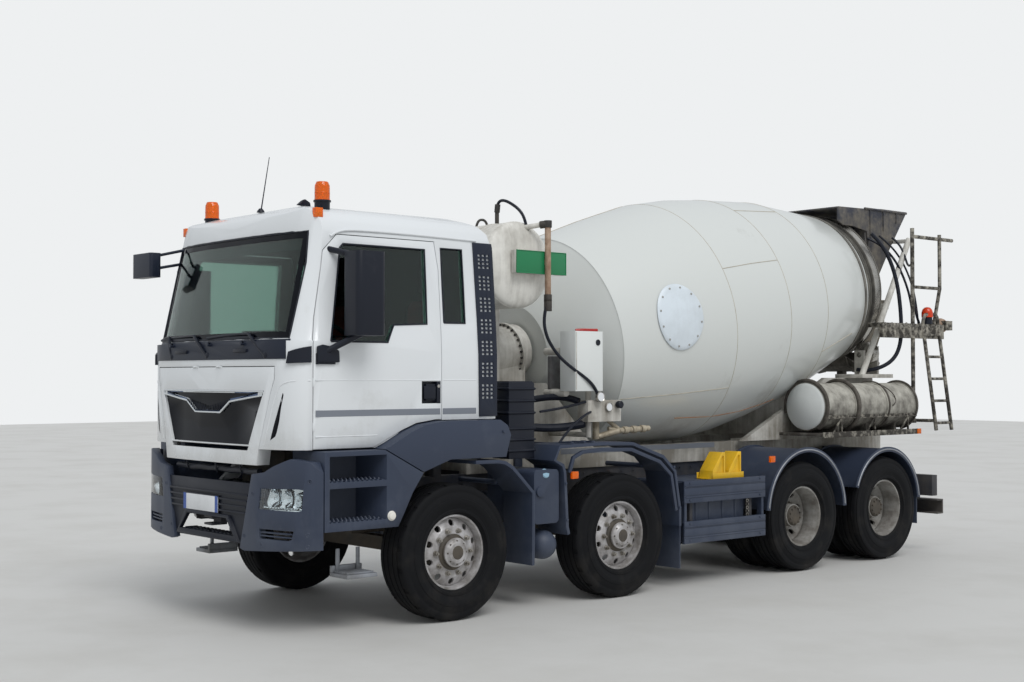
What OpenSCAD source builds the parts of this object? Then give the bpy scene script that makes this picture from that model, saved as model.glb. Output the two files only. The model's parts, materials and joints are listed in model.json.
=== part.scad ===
// Four-axle concrete mixer truck, parked with straight wheels, chute folded to its right side.
// Millimetres. +Z up, the front of the truck faces -Y and its own left side is +X.
// The tables below count y from the front of the bumper towards the back of the truck.

/* [Truck] */
// length from the front of the bumper to the rear lamp bar
overall_l = 8900; // [8880:10:8960]
// width over the tyres, steps and bumper
body_w = 2490; // [2480:2:2500]
// distance between two parts that move past each other
move_gap = 6; // [5:1:7]

/* [Wheels] */
// radius of a tyre under load, which is also the height of the axles
tyre_r = 525; // [515:1:528]
// width of one tyre
tyre_w = 312; // [300:2:316]
// radius of the rim flange
rim_r = 298; // [290:1:300]
// distance between the middles of two twin tyres
twin_pitch = 345; // [335:1:350]

/* [Frame] */
// height of the side rails
rail_h = 300; // [280:5:310]
// distance from the middle of the truck to the outer face of a rail
rail_x = 425; // [410:5:430]
// plate thickness of rails and brackets
plate_t = 10; // [8:1:12]

/* [Cab] */
// width of the cab over its skin
cab_w = 2240; // [2200:10:2250]
// distance from the bumper front to the back wall of the cab
cab_rear_y = 1950; // [1930:5:1955]
// thickness of the cab walls, roof and doors
wall_t = 50; // [40:2:56]
// thickness of the window glass
glass_t = 8; // [6:1:10]

/* [Drum] */
// slope of the drum axis, rear end up
drum_slope = 9.36; // [9:0.02:9.5]
// plate thickness of the drum
drum_t = 12; // [8:1:14]

/* [Hidden] */

// distance of each axle from the front of the bumper
axle_y = [1475, 3270, 5775, 7125];
half_w = body_w / 2;
wheel_z = tyre_r;
wheel_x = half_w - 10 - tyre_w / 2;
kingpin_x = wheel_x - tyre_w / 2 + 7;
rail_z = 750;
rail_top = rail_z + rail_h;
sub_top = 1230;
cab_x = cab_w / 2;
pivot_y = 200;
pivot_z = 800;
pivot_arm_x = rail_x + 55;
floor_z = 1600;
drum_start = [3552, 2188];
roller_r = 125;
ring_s = 4110;
ring_r = 800;
ring_w = 120;
roller_out = ring_r + roller_r + move_gap;
roller_x = roller_out * sin(38);
roller_y = drum_start[0] + ring_s * cos(drum_slope) + roller_out * cos(38) * sin(drum_slope);
roller_z = drum_start[1] + ring_s * sin(drum_slope) - roller_out * cos(38) * cos(drum_slope);
swivel_y = 8200;
leg_x = 740;
leg_y = 7398;
pin_r = 18;
tow_r = 20;
// front and rear towing pins: y, z
tow_front = [58, 776];
tow_rear = [8295, 478];
fit_gap = 0.3;
tilt_z = 1862;

// the drum: distance along its axis from the front edge, and outer radius there
drum_table = [
    [-400, 400], [0, 972], [640, 1085], [1285, 1177], [1720, 1182], [2158, 1149],
    [2853, 1067], [3880, 832], [4280, 620]
];

// cab side outline, front round to the back: y, z
cab_side = [
    [6, 1225], [4, 1500], [4, 1775], [6, 1880], [10, 1995], [41, 2132], [233, 2985],
    [235, 3020], [262, 3075], [330, 3125], [450, 3162], [650, 3185], [900, 3195], [1300, 3185],
    [1700, 3135], [1860, 3085], [1930, 3010], [cab_rear_y, 2900], [cab_rear_y, 1540],
    [1354, 1540], [1164, 1515], [1023, 1463], [790, 1345], [210, 1345], [190, 1225]
];
// cab half outline seen from the front: x, z
cab_front = [
    [0, 1225], [700, 1225], [715, 1345], [cab_x - 12, 1345], [cab_x, 1380], [cab_x, 2050],
    [cab_x - 15, 2300], [cab_x - 55, 2800], [cab_x - 68, 2940], [cab_x - 90, 3010],
    [cab_x - 130, 3065], [cab_x - 200, 3105], [cab_x - 320, 3140], [500, 3180], [0, 3200]
];
// cab half outline seen from above: x, y
cab_plan = [
    [0, 0], [400, 8], [cab_x - 420, 28], [cab_x - 270, 48], [cab_x - 170, 76], [cab_x - 110, 104],
    [cab_x - 60, 142], [cab_x - 25, 190], [cab_x - 7, 240], [cab_x, 330], [cab_x, 2100], [0, 2100]
];

module from_front() translate([0, -overall_l / 2, 0]) children();

module both_sides() {
    children();
    mirror([1, 0, 0]) children();
}

// a side outline of y and z, drawn between two values of x
module side_plate(x0, x1, pts) {
    translate([x0, 0, 0]) rotate([90, 0, 90]) linear_extrude(x1 - x0) polygon(pts);
}

// a front outline of x and z, drawn between two values of y
module front_plate(y0, y1, pts) {
    translate([0, y1, 0]) rotate([90, 0, 0]) linear_extrude(y1 - y0) polygon(pts);
}

module box(x, y, z) {
    translate([x[0], y[0], z[0]]) cube([x[1] - x[0], y[1] - y[0], z[1] - z[0]]);
}

// a round bar along X, Y or Z
module bar_x(x0, x1, y, z, r) translate([x0, y, z]) rotate([0, 90, 0]) cylinder(r=r, h=x1 - x0, $fn=48);
module bar_y(x, y0, y1, z, r) translate([x, y0, z]) rotate([-90, 0, 0]) cylinder(r=r, h=y1 - y0, $fn=48);
module bar_z(x, y, z0, z1, r) translate([x, y, z0]) cylinder(r=r, h=z1 - z0, $fn=48);

// a round bar between any two points
module bar(a, b, r) {
    d = b - a;
    l = norm(d);
    translate(a) rotate([0, acos(d[2] / l), atan2(d[1], d[0])]) cylinder(r=r, h=l, $fn=32);
}

function mirrored(pts) = concat(pts, [for (i = [len(pts) - 1:-1:0]) if (pts[i][0] > 0) [-pts[i][0], pts[i][1]]]);

/* chassis */

module frame() {
    rails();
    tail_bumper();
}

module rails() {
    from_front() {
        both_sides() difference() {
            box([rail_x - 80, rail_x], [150, 8200], [rail_z, rail_top]);
            box([rail_x - 90, rail_x - plate_t], [140, 8210], [rail_z + 12, rail_top - 12]);
        }
        for (y = [380, 2050, 4120, 5080, 6450, 8060])
            box([-rail_x + plate_t, rail_x - plate_t], [y, y + 100], [rail_top - 120, rail_top - 11]);
        both_sides() {
            bar_x(rail_x - 1, pivot_arm_x + 40, pivot_y, pivot_z, 25);
            // post under the back edge of the cab
            box([rail_x - 60, rail_x + 60], [1820, 1900], [rail_top - 1, 1540 - move_gap]);
        }
        box([-rail_x + plate_t, rail_x - plate_t], [150, 210], [762, 860]);
        tow_jaw(tow_front[0], tow_front[1], -1);
    }
}

// forked jaw with a hole for an upright towing pin; it opens to the front or the back
module tow_jaw(y, z, way) translate([0, y, z]) scale([1, way, 1]) difference() {
    union() {
        box([-60, 60], [-93, -42], [-36, 36]);
        for (m = [-28, 28]) box([-60, 60], [-43, 38], [m - 8, m + 8]);
    }
    bar_z(0, 0, -50, 50, tow_r);
}

module mixer_frame() {
    subframe();
    drum_stand_front();
    drum_stand_rear();
}

module subframe() {
    from_front() {
        both_sides() box([350, 450], [2200, 8150], [rail_top, sub_top]);
        for (y = [2240, 2560, 3060, 5600, 6560, 7560, 8050])
            box([-350, 350], [y, y + 80], [rail_top + 20, sub_top - 20]);
    }
}

bumper_plan = [
    [0, 0], [500, 2], [700, 16], [850, 34], [1000, 66], [1110, 104], [1180, 145], [1225, 195],
    [half_w, 248]
];

module bumper_outline(inset) {
    polygon(mirrored(concat(
        [for (p = bumper_plan) if (p[1] + inset < 249) [p[0] * (half_w - inset) / half_w, p[1] + inset]],
        [[half_w - inset, 249]]
    )));
}

// corner of the bumper seen from the front, x and z
corner_face = [
    [505, 612], [560, 596], [half_w, 640], [half_w, 1190], [1200, 1262], [1060, 1284],
    [900, 1228], [800, 1180], [651, 1160]
];
lamp_face = [[736, 912], [760, 1062], [1120, 1072], [1160, 1066], [1150, 922], [1120, 912]];
fog_face = [[748, 700], [748, 772], [1090, 772], [1075, 712], [1040, 700]];

module bumper() {
    from_front() both_sides() {
        difference() {
            intersection() {
                front_plate(0, 248, corner_face);
                translate([0, 0, 500]) linear_extrude(900) difference() {
                    bumper_outline(0);
                    bumper_outline(50);
                }
            }
            front_plate(-10, 240, lamp_face);
            front_plate(-10, 200, fog_face);
        }
        // slats in the slot for the fog lamp and the floor behind them
        for (z = [722, 746]) intersection() {
            box([740, 1100], [0, 240], [z - 5, z + 5]);
            translate([0, 0, 600]) linear_extrude(300) difference() {
                bumper_outline(10);
                bumper_outline(30);
            }
        }
        // arm to the rail
        box([rail_x, 1000], [80, 130], [800, 860]);
        box([rail_x - 80, rail_x], [40, 150], [800, 1000]);
    }
}

module bumper_grid() {
    from_front() {
        // back plate of the grid with the trapezoid step opening
        difference() {
            front_plate(24, 32, [[-503, 640], [503, 640], [625, 1090], [-625, 1090]]);
            front_plate(0, 60, [[-420, 690], [420, 690], [300, 815], [-300, 815]]);
        }
        // bars
        for (z = [868, 912, 956, 1000]) {
            w = 503 + (z - 640) * 0.27;
            box([-w, w], [8, 24], [z - 7, z + 7]);
        }
        // frame round the step opening, and the ribbed tread in it
        difference() {
            front_plate(0, 24, [[-470, 652], [470, 652], [330, 838], [-330, 838]]);
            front_plate(0, 60, [[-420, 690], [420, 690], [300, 815], [-300, 815]]);
        }
        difference() {
            union() {
                box([-415, 415], [32, 150], [672, 690]);
                for (i = [0:13]) box([-400 + i * 60, -372 + i * 60], [40, 140], [690, 697]);
            }
            bar_z(0, tow_front[0], 660, 700, tow_r + 8);
        }
        // beam behind the grid
        both_sides() box([300, rail_x - 80], [60, 150], [820, 1000]);
        box([-300, 300], [60, 150], [860, 960]);
        both_sides() box([300, 330], [32, 60], [850, 880]);
    }
}

module lamps() {
    from_front() {
        both_sides() {
            // headlamp: bowl, three round reflectors and the clear cover
            difference() {
                intersection() {
                    front_plate(0, 200, lamp_face);
                    translate([0, 0, 880]) linear_extrude(220) difference() {
                        bumper_outline(50);
                        bumper_outline(110);
                    }
                }
                for (l = [[850, 990, 58], [985, 990, 52], [1080, 985, 40]])
                    bar_y(l[0], 0, 140 + (l[0] - 850) * 0.1, l[1], l[2]);
            }
            intersection() {
                front_plate(0, 240, lamp_face);
                translate([0, 0, 880]) linear_extrude(220) difference() {
                    bumper_outline(4);
                    bumper_outline(9);
                }
            }
            // rear lamp under the lamp bar of the frame
            for (x = [0:3]) box([716 + x * 115, 821 + x * 115], [8080, 8105], [650, 770]);
        }
    }
}

// the step box under each door, fixed to the frame
module cab_steps() {
    from_front() both_sides() {
        difference() {
            side_plate(820, half_w, [
                [258, 764], [258, 1335], [784, 1335], [1140, 1150], [1040, 1010], [960, 860], [905, 764]
            ]);
            // two foot holes that narrow inwards
            for (s = [[825, 1070], [1115, 1300]]) translate([0, 0, s[0]]) linear_extrude(s[1] - s[0])
                polygon([[half_w + 1, 300], [half_w + 1, 800], [930, 740], [930, 330]]);
        }
        // ribs of the two treads
        for (z = [1115, 825], i = [0:11])
            box([1180, half_w - 8], [318 + i * 40, 338 + i * 40], [z - 1, z + 7]);
        bar_x(rail_x, 821, 560, 950, 40);
    }
}

module leaf_pack(y, l, z) {
    for (i = [0:3]) box([rail_x - 85, rail_x - 5], [y - l / 2 + i * 110, y + l / 2 - i * 110], [z - 22 * i - 22, z - 22 * i]);
}

module axles() {
    front_axles();
    drive_axles();
}

module front_axles() {
    from_front() for (y = [axle_y[0], axle_y[1]]) {
        difference() {
            union() {
                box([-kingpin_x + 20, kingpin_x - 20], [y - 50, y + 50], [wheel_z - 60, wheel_z + 50]);
                both_sides() bar_z(kingpin_x, y, wheel_z - 60, wheel_z + 50, 45);
            }
            both_sides() bar_z(kingpin_x, y, wheel_z - 70, wheel_z + 60, pin_r + fit_gap);
        }
        both_sides() {
            leaf_pack(y, 1500, rail_z - 30);
            box([rail_x - 80, rail_x - 10], [y - 60, y + 60], [wheel_z + 49, rail_z - 110]);
            for (e = [-1, 1]) box([rail_x - 85, rail_x - 5], [y + e * 700 - 40, y + e * 700 + 40], [rail_z - 60, rail_z]);
        }
    }
}

module drive_axles() {
    from_front() {
        for (y = [axle_y[2], axle_y[3]]) {
            both_sides() bar_x(0, wheel_x - 559, y, wheel_z, 80);
            translate([0, y, wheel_z]) rotate([90, 0, 0]) cylinder(r=230, h=180, center=true, $fn=64);
            translate([0, y - 80, wheel_z]) rotate([90, 0, 0]) cylinder(r1=190, r2=110, h=160, $fn=64);
            both_sides() translate([wheel_x - 560, y, wheel_z]) rotate([0, 90, 0]) cylinder(r=60, h=380, $fn=64);
        }
        // one long spring on each side, carried between the two axles
        y = (axle_y[2] + axle_y[3]) / 2;
        both_sides() {
            leaf_pack(y, 1500, 720);
            box([rail_x - 85, rail_x - 5], [y - 110, y + 110], [620, rail_z]);
            for (a = [axle_y[2], axle_y[3]]) box([rail_x - 85, rail_x - 5], [a - 60, a + 60], [wheel_z + 60, 700]);
        }
    }
}

module engine() {
    from_front() {
        box([-300, 300], [700, 1780], [690, 1300]);
        box([-220, 220], [1779, 2040], [640, 1060]);
        box([-320, 320], [500, 600], [800, 1290]);
        for (x = [-150, 150]) box([x - 30, x + 30], [599, 701], [900, 960]);
        both_sides() box([299, rail_x - plate_t], [1200, 1300], [900, 1030]);
        // shafts to the two drive axles and the pump drive of the drum
        bar([0, 2030, 850], [0, 5450, 560], 50);
        bar_y(0, 5440, 5535, 560, 50);
        bar_y(0, 5865, 6885, 560, 50);
    }
}

module air_intake() {
    from_front() {
        // stack behind the cab with ribs round it
        box([840, 1050], [2153, 2430], [1205, 1825]);
        for (z = [1262, 1352, 1442, 1570, 1668, 1766])
            box([830, 1060], [2143, 2440], [z, z + 16]);
        box([850, 1040], [2163, 2420], [1825, 1836]);
        // duct to the engine
        box([450, 840], [2230, 2300], [1206, 1276]);
        box([450, 520], [2230, 2300], [1150, 1206]);
    }
}

module tank_shape(x0, x1, y0, y1, z0, z1, r) {
    translate([x0, 0, 0]) rotate([90, 0, 90]) linear_extrude(x1 - x0)
        translate([y0 + r, z0 + r]) offset(r=r, $fn=32) square([y1 - y0 - 2 * r, z1 - z0 - 2 * r]);
}

module side_tanks() {
    from_front() {
        // small tank on the left with its filler cap
        tank_shape(640, 1225, 2270, 2540, 683, 1120, 40);
        bar_x(1224, 1243, 2330, 945, 42);
        box([rail_x, 641], [2330, 2500], [800, 900]);
        // fuel tank on the right with its straps and filler
        mirror([1, 0, 0]) {
            tank_shape(560, 1192, 4130, 5100, 440, 1010, 90);
            for (y = [4330, 4850]) tank_shape(700, 1198, y, y + 50, 434, 1016, 20);
            bar_z(1000, 4240, 1000, 1040, 50);
            box([rail_x, 561], [4300, 4380], [800, 900]);
            box([rail_x, 561], [4900, 4980], [800, 900]);
        }
        // air tanks across the frame, with their straps
        both_sides() {
            bar_x(560, 1130, 2438, 506, 120);
            translate([1130, 2438, 506]) sphere(r=120, $fn=64);
            for (x = [640, 1000]) bar_x(x, x + 40, 2438, 506, 125);
            box([rail_x - 40, 640], [2400, 2470], [600, 640]);
            box([rail_x - 40, rail_x - 1], [2400, 2470], [600, rail_z]);
        }
    }
}

module side_boxes() {
    from_front() {
        // battery box on the left: ribbed lid and two latches
        box([520, 1140], [4200, 4960], [520, 905]);
        box([505, 1155], [4185, 4975], [905, 930]);
        for (y = [4360, 4760]) box([1140, 1150], [y, y + 50], [800, 905]);
        for (y = [4300, 4480, 4660, 4840]) box([1140, 1147], [y - 12, y + 12], [540, 780]);
        box([rail_x, 521], [4300, 4380], [800, 900]);
        box([rail_x, 521], [4800, 4880], [800, 900]);
        // silencer on the right with its outlet
        tank_shape(-1200, -620, 2268, 2470, 700, 1180, 60);
        box([-621, -rail_x], [2300, 2440], [800, 900]);
        bar_y(-900, 2469, 2530, 760, 50);
    }
}

module side_guards() {
    // two hollow planks on each side: the back is open between the lips
    from_front() both_sides() {
        for (z = [750, 390]) difference() {
            box([half_w - 42, half_w - 9], [4045, 5165], [z, z + 195]);
            box([half_w - 45, half_w - 23], [4030, 5180], [z + 14, z + 181]);
            for (i = [0:1]) box([half_w - 13, half_w - 5], [4030, 5180], [z + 60 + i * 70, z + 66 + i * 70]);
        }
        for (y = [4060, 5125]) {
            box([half_w - 80, half_w - 23], [y, y + 30], [404, 931]);
            box([rail_x, half_w - 79], [y, y + 30], [895, 930]);
        }
    }
}

module wheel_chocks() {
    // two wedges with hollow sides, standing in a tray
    from_front() {
        for (y = [4540, 4765]) difference() {
            side_plate(960, 1120, [[y + 8, 940], [y + 192, 940], [y + 192, 1175], [y + 150, 1175], [y + 20, 1010]]);
            side_plate(1105, 1130, [[y + 60, 962], [y + 172, 962], [y + 172, 1140], [y + 150, 1140]]);
            side_plate(950, 975, [[y + 60, 962], [y + 172, 962], [y + 172, 1140], [y + 150, 1140]]);
        }
        box([940, 1140], [4536, 4970], [930, 940]);
        for (x = [940, 1134]) box([x, x + 6], [4536, 4970], [940, 990]);
    }
}

// a curved mudguard round an axle, lips on both edges: inner radius, angles from the rear
module guard_arc(x0, x1, y, z, r, a0, a1) {
    translate([0, y, z]) rotate([90, 0, 90]) rotate([0, 0, a0]) rotate_extrude(angle = a1 - a0) polygon([
        [r - 22, x0], [r + 26, x0], [r + 26, x0 + 14], [r + 8, x0 + 14], [r + 8, x1 - 14], [r + 26, x1 - 14],
        [r + 26, x1], [r - 22, x1], [r - 22, x1 - 14], [r, x1 - 14], [r, x0 + 14], [r - 22, x0 + 14]
    ]);
}

module band(x0, x1, pts, t) {
    // a plate that follows the points at an even thickness
    translate([x0, 0, 0]) rotate([90, 0, 90]) linear_extrude(x1 - x0) polygon(concat(
        pts,
        [for (i = [len(pts) - 1:-1:0])
            let (
                a = pts[max(0, i - 1)],
                b = pts[min(len(pts) - 1, i + 1)],
                d = (b - a) / norm(b - a)
            )
            pts[i] + t * [d[1], -d[0]]]
    ));
}

module mudguards() {
    from_front() both_sides() {
        // behind the first axle
        band(890, half_w, [
            [1650, 1222], [1880, 1220], [1958, 1206], [2040, 1160], [2259, 949], [2262, 640], [2258, 361]
        ], 28);
        bar_x(rail_x, 900, 2150, 1015, 22);
        // over the second axle
        band(890, half_w, [
            [2622, 578], [2605, 640], [2578, 1090], [2562, 1138], [2468, 1190], [2534, 1312], [2990, 1324],
            [3390, 1313], [3773, 1187], [3930, 1047], [3993, 700], [3993, 559]
        ], 28);
        band(half_w - 22, half_w + 1, [
            [2634, 1090], [2680, 1215], [2790, 1262], [3010, 1276], [3370, 1266], [3730, 1146], [3882, 1020], [3948, 700]
        ], 30);
        box([900, half_w - 20], [3993, 4003], [180, 700]);
        bar_x(470, 900, 2760, 1296, 22);
        box([450, 480], [2720, 2800], [1070, 1318]);
        bar_x(450, 900, 3860, 1080, 22);
        // over the two drive axles, with a bracket from the rail each
        for (g = [
            [axle_y[2] + 25, 575, 590, 2, 176],
            [axle_y[3], 570, 556, 4, 160]
        ]) {
            guard_arc(560, half_w, g[0], g[1], g[2], g[3], g[4]);
            box([450, 700], [g[0] - 14, g[0] + 14], [g[1] + g[2] - 18, g[1] + g[2] + 4]);
            box([450, 474], [g[0] - 30, g[0] + 30], [1070, g[1] + g[2] - 10]);
        }
        // rear flap
        box([700, half_w - 30], [axle_y[3] + 556, axle_y[3] + 566], [330, 620]);
    }
}

module tail_bumper() {
    from_front() {
        difference() {
            box([-1200, 1200], [8100, 8210], [400, 555]);
            box([-1210, 1210], [8090, 8190], [415, 540]);
        }
        tow_jaw(tow_rear[0], tow_rear[1], 1);
        both_sides() {
            box([rail_x - 80, rail_x - 12], [8000, 8110], [480, rail_z]);
            box([690, 1210], [7985, 8080], [600, 820]);
            box([900, 980], [8060, 8110], [545, 640]);
        }
    }
}

/* mixer */

module drum_stand_front() {
    from_front() {
        both_sides() side_plate(380, 440, [[2580, sub_top], [3700, sub_top], [3120, 1810], [2620, 1810]]);
        box([-440, 440], [2600, 3120], [1780, 1815]);
        box([-381, 381], [2600, 2640], [sub_top, 1781]);
    }
}

module drum_gearbox() {
    from_front() {
        translate([0, 3130, 2118]) rotate([90 + drum_slope, 0, 0]) cylinder(r=235, h=420, $fn=64);
        box([-200, 200], [2740, 3080], [1815, 2050]);
        translate([0, 3130, 2118]) rotate([drum_slope - 90, 0, 0]) cylinder(r=90, h=21, $fn=64);
    }
}

water_y = 2450;
water_z = 2808;
water_r = 362;

module water_tank() {
    from_front() {
        both_sides() {
            bar_x(0, 800, water_y, water_z, water_r);
            translate([800, water_y, water_z]) scale([0.25, 1, 1]) sphere(r=water_r, $fn=96);
            box([380, 430], [2240, 2300], [sub_top, 2560]);
            box([380, 430], [2520, 2579], [sub_top, 2560]);
        }
        box([-430, 430], [2240, 2579], [2440, 2480]);
        box([780, 900], [2430, 2500], [2800, 2850]);
    }
}

module water_panel() {
    from_front() {
        // control box, valve block and the pipes that carry them
        box([850, 1040], [2905, 3227], [1750, 2260]);
        box([870, 1000], [3090, 3490], [1485, 1670]);
        bar_z(930, 3160, 1350, 1751, 25);
        bar_x(440, 931, 3160, 1372, 22);
        // sign box and stand pipe beside the tank
        box([900, 960], [2310, 2870], [2730, 2920]);
        bar_z(985, 2640, 2480, 3160, 26);
        box([955, 990], [2620, 2660], [2810, 2850]);
    }
}

module drum_stand_rear() {
    // two side walls, the forks of the rollers, the legs of the hopper and the post of the chute
    from_front() {
        both_sides() {
            side_plate(500, 560, [[5650, sub_top], [7900, sub_top], [7850, 1860], [7020, 1860]]);
            box([360, 501], [5700, 7900], [sub_top, sub_top + 20]);
            box([440, 790], [7340, 7900], [1859, 1900]);
            difference() {
                for (f = [[-125, 25], [125, 75]])
                    box([roller_x - 60, roller_x + 60], [roller_y + f[0] - 15, roller_y + f[0] + 15], [1899, roller_z + f[1]]);
                translate([roller_x, roller_y, roller_z]) rotate([drum_slope - 90, 0, 0])
                    cylinder(r=30 + fit_gap, h=400, center=true, $fn=64);
            }
            // legs of the hopper, with the brackets of the platform and the hopper
            bar([leg_x, leg_y, 1880], [leg_x, leg_y + 900, 3400], 32);
            box([560, leg_x], [leg_y + 860, leg_y + 920], [3360, 3400]);
            box([580, leg_x], [leg_y + 442, leg_y + 502], [2610, 2670]);
            box([leg_x, 790], [leg_y + 305, leg_y + 355], [2400, 2448]);
        }
        box([-560, 560], [7820, 7890], [sub_top, 1500]);
        // foot and post of the chute, bolted to the cross beam
        box([-120, 120], [7890 + fit_gap, swivel_y + 60], [sub_top, sub_top + 60]);
        bar_z(0, swivel_y, sub_top, tilt_z - 120, 50);
    }
}

module chute_rack() {
    from_front() {
        bar_y(850, 6300, 7900, 1570, 235);
        translate([850, 6300, 1570]) scale([1, 0.26, 1]) sphere(r=235, $fn=96);
        for (y = [6290, 6800, 7350, 7870]) bar_y(850, y, y + 40, 1570, 247);
        box([560, 1100], [6230, 7950], [1275, 1305]);
        for (y = [6600, 7100, 7600]) box([700, 1000], [y, y + 40], [1304, 1400]);
    }
}

module hoppers() {
    feed_hopper();
    discharge_hopper();
}

module feed_hopper() {
    // open funnel above the mouth of the drum: y, z outlines of its walls
    from_front() {
        both_sides() side_plate(480, 500, [
            [7330, 3560], [7330, 3715], [7800, 3725], [8120, 3745], [8620, 3745], [8300, 3330], [8000, 2900],
            [7930, 2900], [7880, 3300], [7850, 3480], [7600, 3520], [7420, 3520]
        ]);
        side_plate(-480, 480, [
            [7330, 3700], [7330, 3715], [7700, 3680], [7850, 3545], [7850, 3330], [7835, 3330], [7835, 3535], [7694, 3665]
        ]);
        side_plate(-480, 480, [
            [8620, 3745], [8600, 3745], [8285, 3330], [7985, 2900], [8000, 2900], [8300, 3330]
        ]);
        // rolled upper edges, stiffening ribs and the lugs on the legs
        both_sides() {
            bar_y(507, 7800, 8600, 3728, 12);
            for (y = [7900, 8150, 8400]) box([500, 512], [y, y + 12], [3400 + (y - 7900) * 0.4, 3720]);
            box([500, 560], [leg_y + 865, leg_y + 915], [3365, 3395]);
        }
    }
}

module discharge_hopper() {
    // tapered collar that leads to the chute: the front is open to the drum
    from_front() {
        difference() {
            side_plate(-356, 356, [[7960, 2220], [8240, 2220], [8380, 2480], [8380, 2740], [7960, 2740]]);
            side_plate(-340, 340, [[7940, 2200], [8224, 2200], [8364, 2484], [8364, 2760], [7940, 2760]]);
        }
        both_sides() {
            box([356, 580], [7960, 8020], [2620, 2660]);
            box([540, 580], [leg_y + 442, 7961], [2620, 2660]);
            box([356, 366], [7960, 8380], [2725, 2740]);
        }
    }
}

module platform() {
    from_front() {
        translate([0, 0, 2400]) linear_extrude(48)
            polygon([[790, 7433], [980, 7433], [980, 8600], [690, 8600], [690, 7990], [790, 7790]]);
        box([940, 980], [7433, 8600], [2289, 2401]);
        bar_z(950, 8041, 1372, 3490, 22);
        bar([950, 8570, 2850], [950, 8435, 2400], 20);
        bar_z(950, 8570, 2840, 3450, 20);
        bar_y(950, 8030, 8820, 3400, 20);
        bar_y(950, 8030, 8570, 2850, 18);
        box([rail_x, 975], [8020, 8060], [1372, 1420]);
        box([rail_x - 40, rail_x + 40], [8020, 8060], [sub_top, 1421]);
        // ladder
        for (y = [8200, 8500]) bar([970, y, 2440], [1130, y, 1290], 20);
        for (i = [0:4]) bar([985 + i * 32, 8200, 2330 - i * 240], [985 + i * 32, 8500, 2330 - i * 240], 15);
        bar([440, 8050, 1396], [1120, 8210, 1396], 18);
        // lamp bar at the back
        box([640, 900], [8780, overall_l], [2395, 2500]);
        box([700, 760], [8590, 8790], [2400, 2440]);
    }
}

/* cab */

// lean of the windscreen from upright
screen_lean = 12.7;

module cab_form(inset) {
    intersection() {
        translate([-1500, 0, 0]) rotate([90, 0, 90]) linear_extrude(3000) offset(delta=-inset) polygon(cab_side);
        translate([0, 2200, 0]) rotate([90, 0, 0]) linear_extrude(2300) offset(delta=-inset) polygon(mirrored(cab_front));
        union() {
            linear_extrude(2132) translate([0, 2]) offset(delta=-inset) polygon(mirrored(cab_plan));
            intersection() {
                translate([0, 36, 2132]) rotate([-screen_lean, 0, 0]) translate([0, 0, -200]) linear_extrude(2400)
                    offset(delta=-inset) polygon(mirrored(cab_plan));
                box([-1500, 1500], [-500, 2500], [2100, 3400]);
            }
        }
    }
}

// wall between two insets of the cab's form
module cab_skin(outer, inner) difference() {
    cab_form(outer);
    cab_form(inner);
}

// side outline of a door: y, z
door_side = [
    [245, 1350], [245, 2110], [262, 2290], [352, 2790], [478, 2915], [1375, 2915], [1405, 2700],
    [1405, 1546], [1354, 1546], [1164, 1521], [1023, 1469], [775, 1350]
];
door_window = [
    [392, 2130], [500, 2820], [530, 2850], [1283, 2850], [1274, 2276], [960, 2262], [900, 2130]
];
quarter_window = [[1440, 2290], [1440, 2870], [1650, 2870], [1650, 2290]];
flap_front = mirrored([[690, 1225], [715, 1350], [cab_x - 260, 1800], [cab_x - 240, 1855], [cab_x - 240, 1944]]);
screen_front = mirrored([[cab_x - 148, 2150], [cab_x - 135, 2700], [cab_x - 165, 2940]]);

module door_zone(grow) {
    for (s = [[cab_x - wall_t - grow, 1350 - grow, 2010], [cab_x - 128 - grow, 2000, 3000]]) intersection() {
        translate([s[0], 0, 0]) rotate([90, 0, 90]) linear_extrude(400) offset(delta=grow) polygon(door_side);
        box([0, 1500], [0, 2000], [s[1] - 100, s[2]]);
    }
}

module window_zone(pts) side_plate(800, 1400, pts);

module cab_shell() {
    from_front() difference() {
        cab_form(0);
        difference() {
            cab_form(wall_t);
            box([-1500, 1500], [-100, 220], [1000, 1990]);
        }
        both_sides() {
            door_zone(move_gap);
            window_zone(quarter_window);
        }
        front_plate(-100, 165, [for (p = flap_front) [p[0] * 1.008, p[1] + (p[1] > 1900 ? move_gap : p[1] < 1300 ? -200 : 0)]]);
        for (x = flap_hinges) box([x + 40, x + 82], [-10, 16], [1940, 1956]);
        front_plate(-100, 620, screen_front);
        // the floor stays open round the engine
        box([-1500, 1500], [-100, 215], [1200, 1344]);
    }
    // level floor under the seats, the cover over the engine and the hinges of the flap
    from_front() {
        for (x = flap_hinges) bar_x(x, x + 40, 6, flap_z, 6);
        box([65 - cab_x, cab_x - 65], [850, cab_rear_y - wall_t + 1], [1540, floor_z]);
        box([-300, 300], [500, cab_rear_y - wall_t + 1], [1390, 1720]);
    }
    // arms down to the pins of the cab
    from_front() both_sides() difference() {
        side_plate(pivot_arm_x - 25, pivot_arm_x + 25, [
            [pivot_y + 32, pivot_z - 42], [pivot_y + 60, pivot_z - 10], [920, 1400], [780, 1400], [pivot_y - 15, pivot_z + 60],
            [pivot_y - 50, pivot_z + 10], [pivot_y - 20, pivot_z - 45]
        ]);
        bar_x(pivot_arm_x - 50, pivot_arm_x + 50, pivot_y, pivot_z, 25 + fit_gap);
    }
}

module cab_glass() {
    from_front() {
        intersection() {
            difference() {
                cab_form(12);
                cab_form(12 + glass_t);
            }
            front_plate(-100, 620, screen_front);
        }
        both_sides() intersection() {
            difference() {
                cab_form(12);
                cab_form(12 + glass_t);
            }
            window_zone(quarter_window);
        }
    }
}

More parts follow.
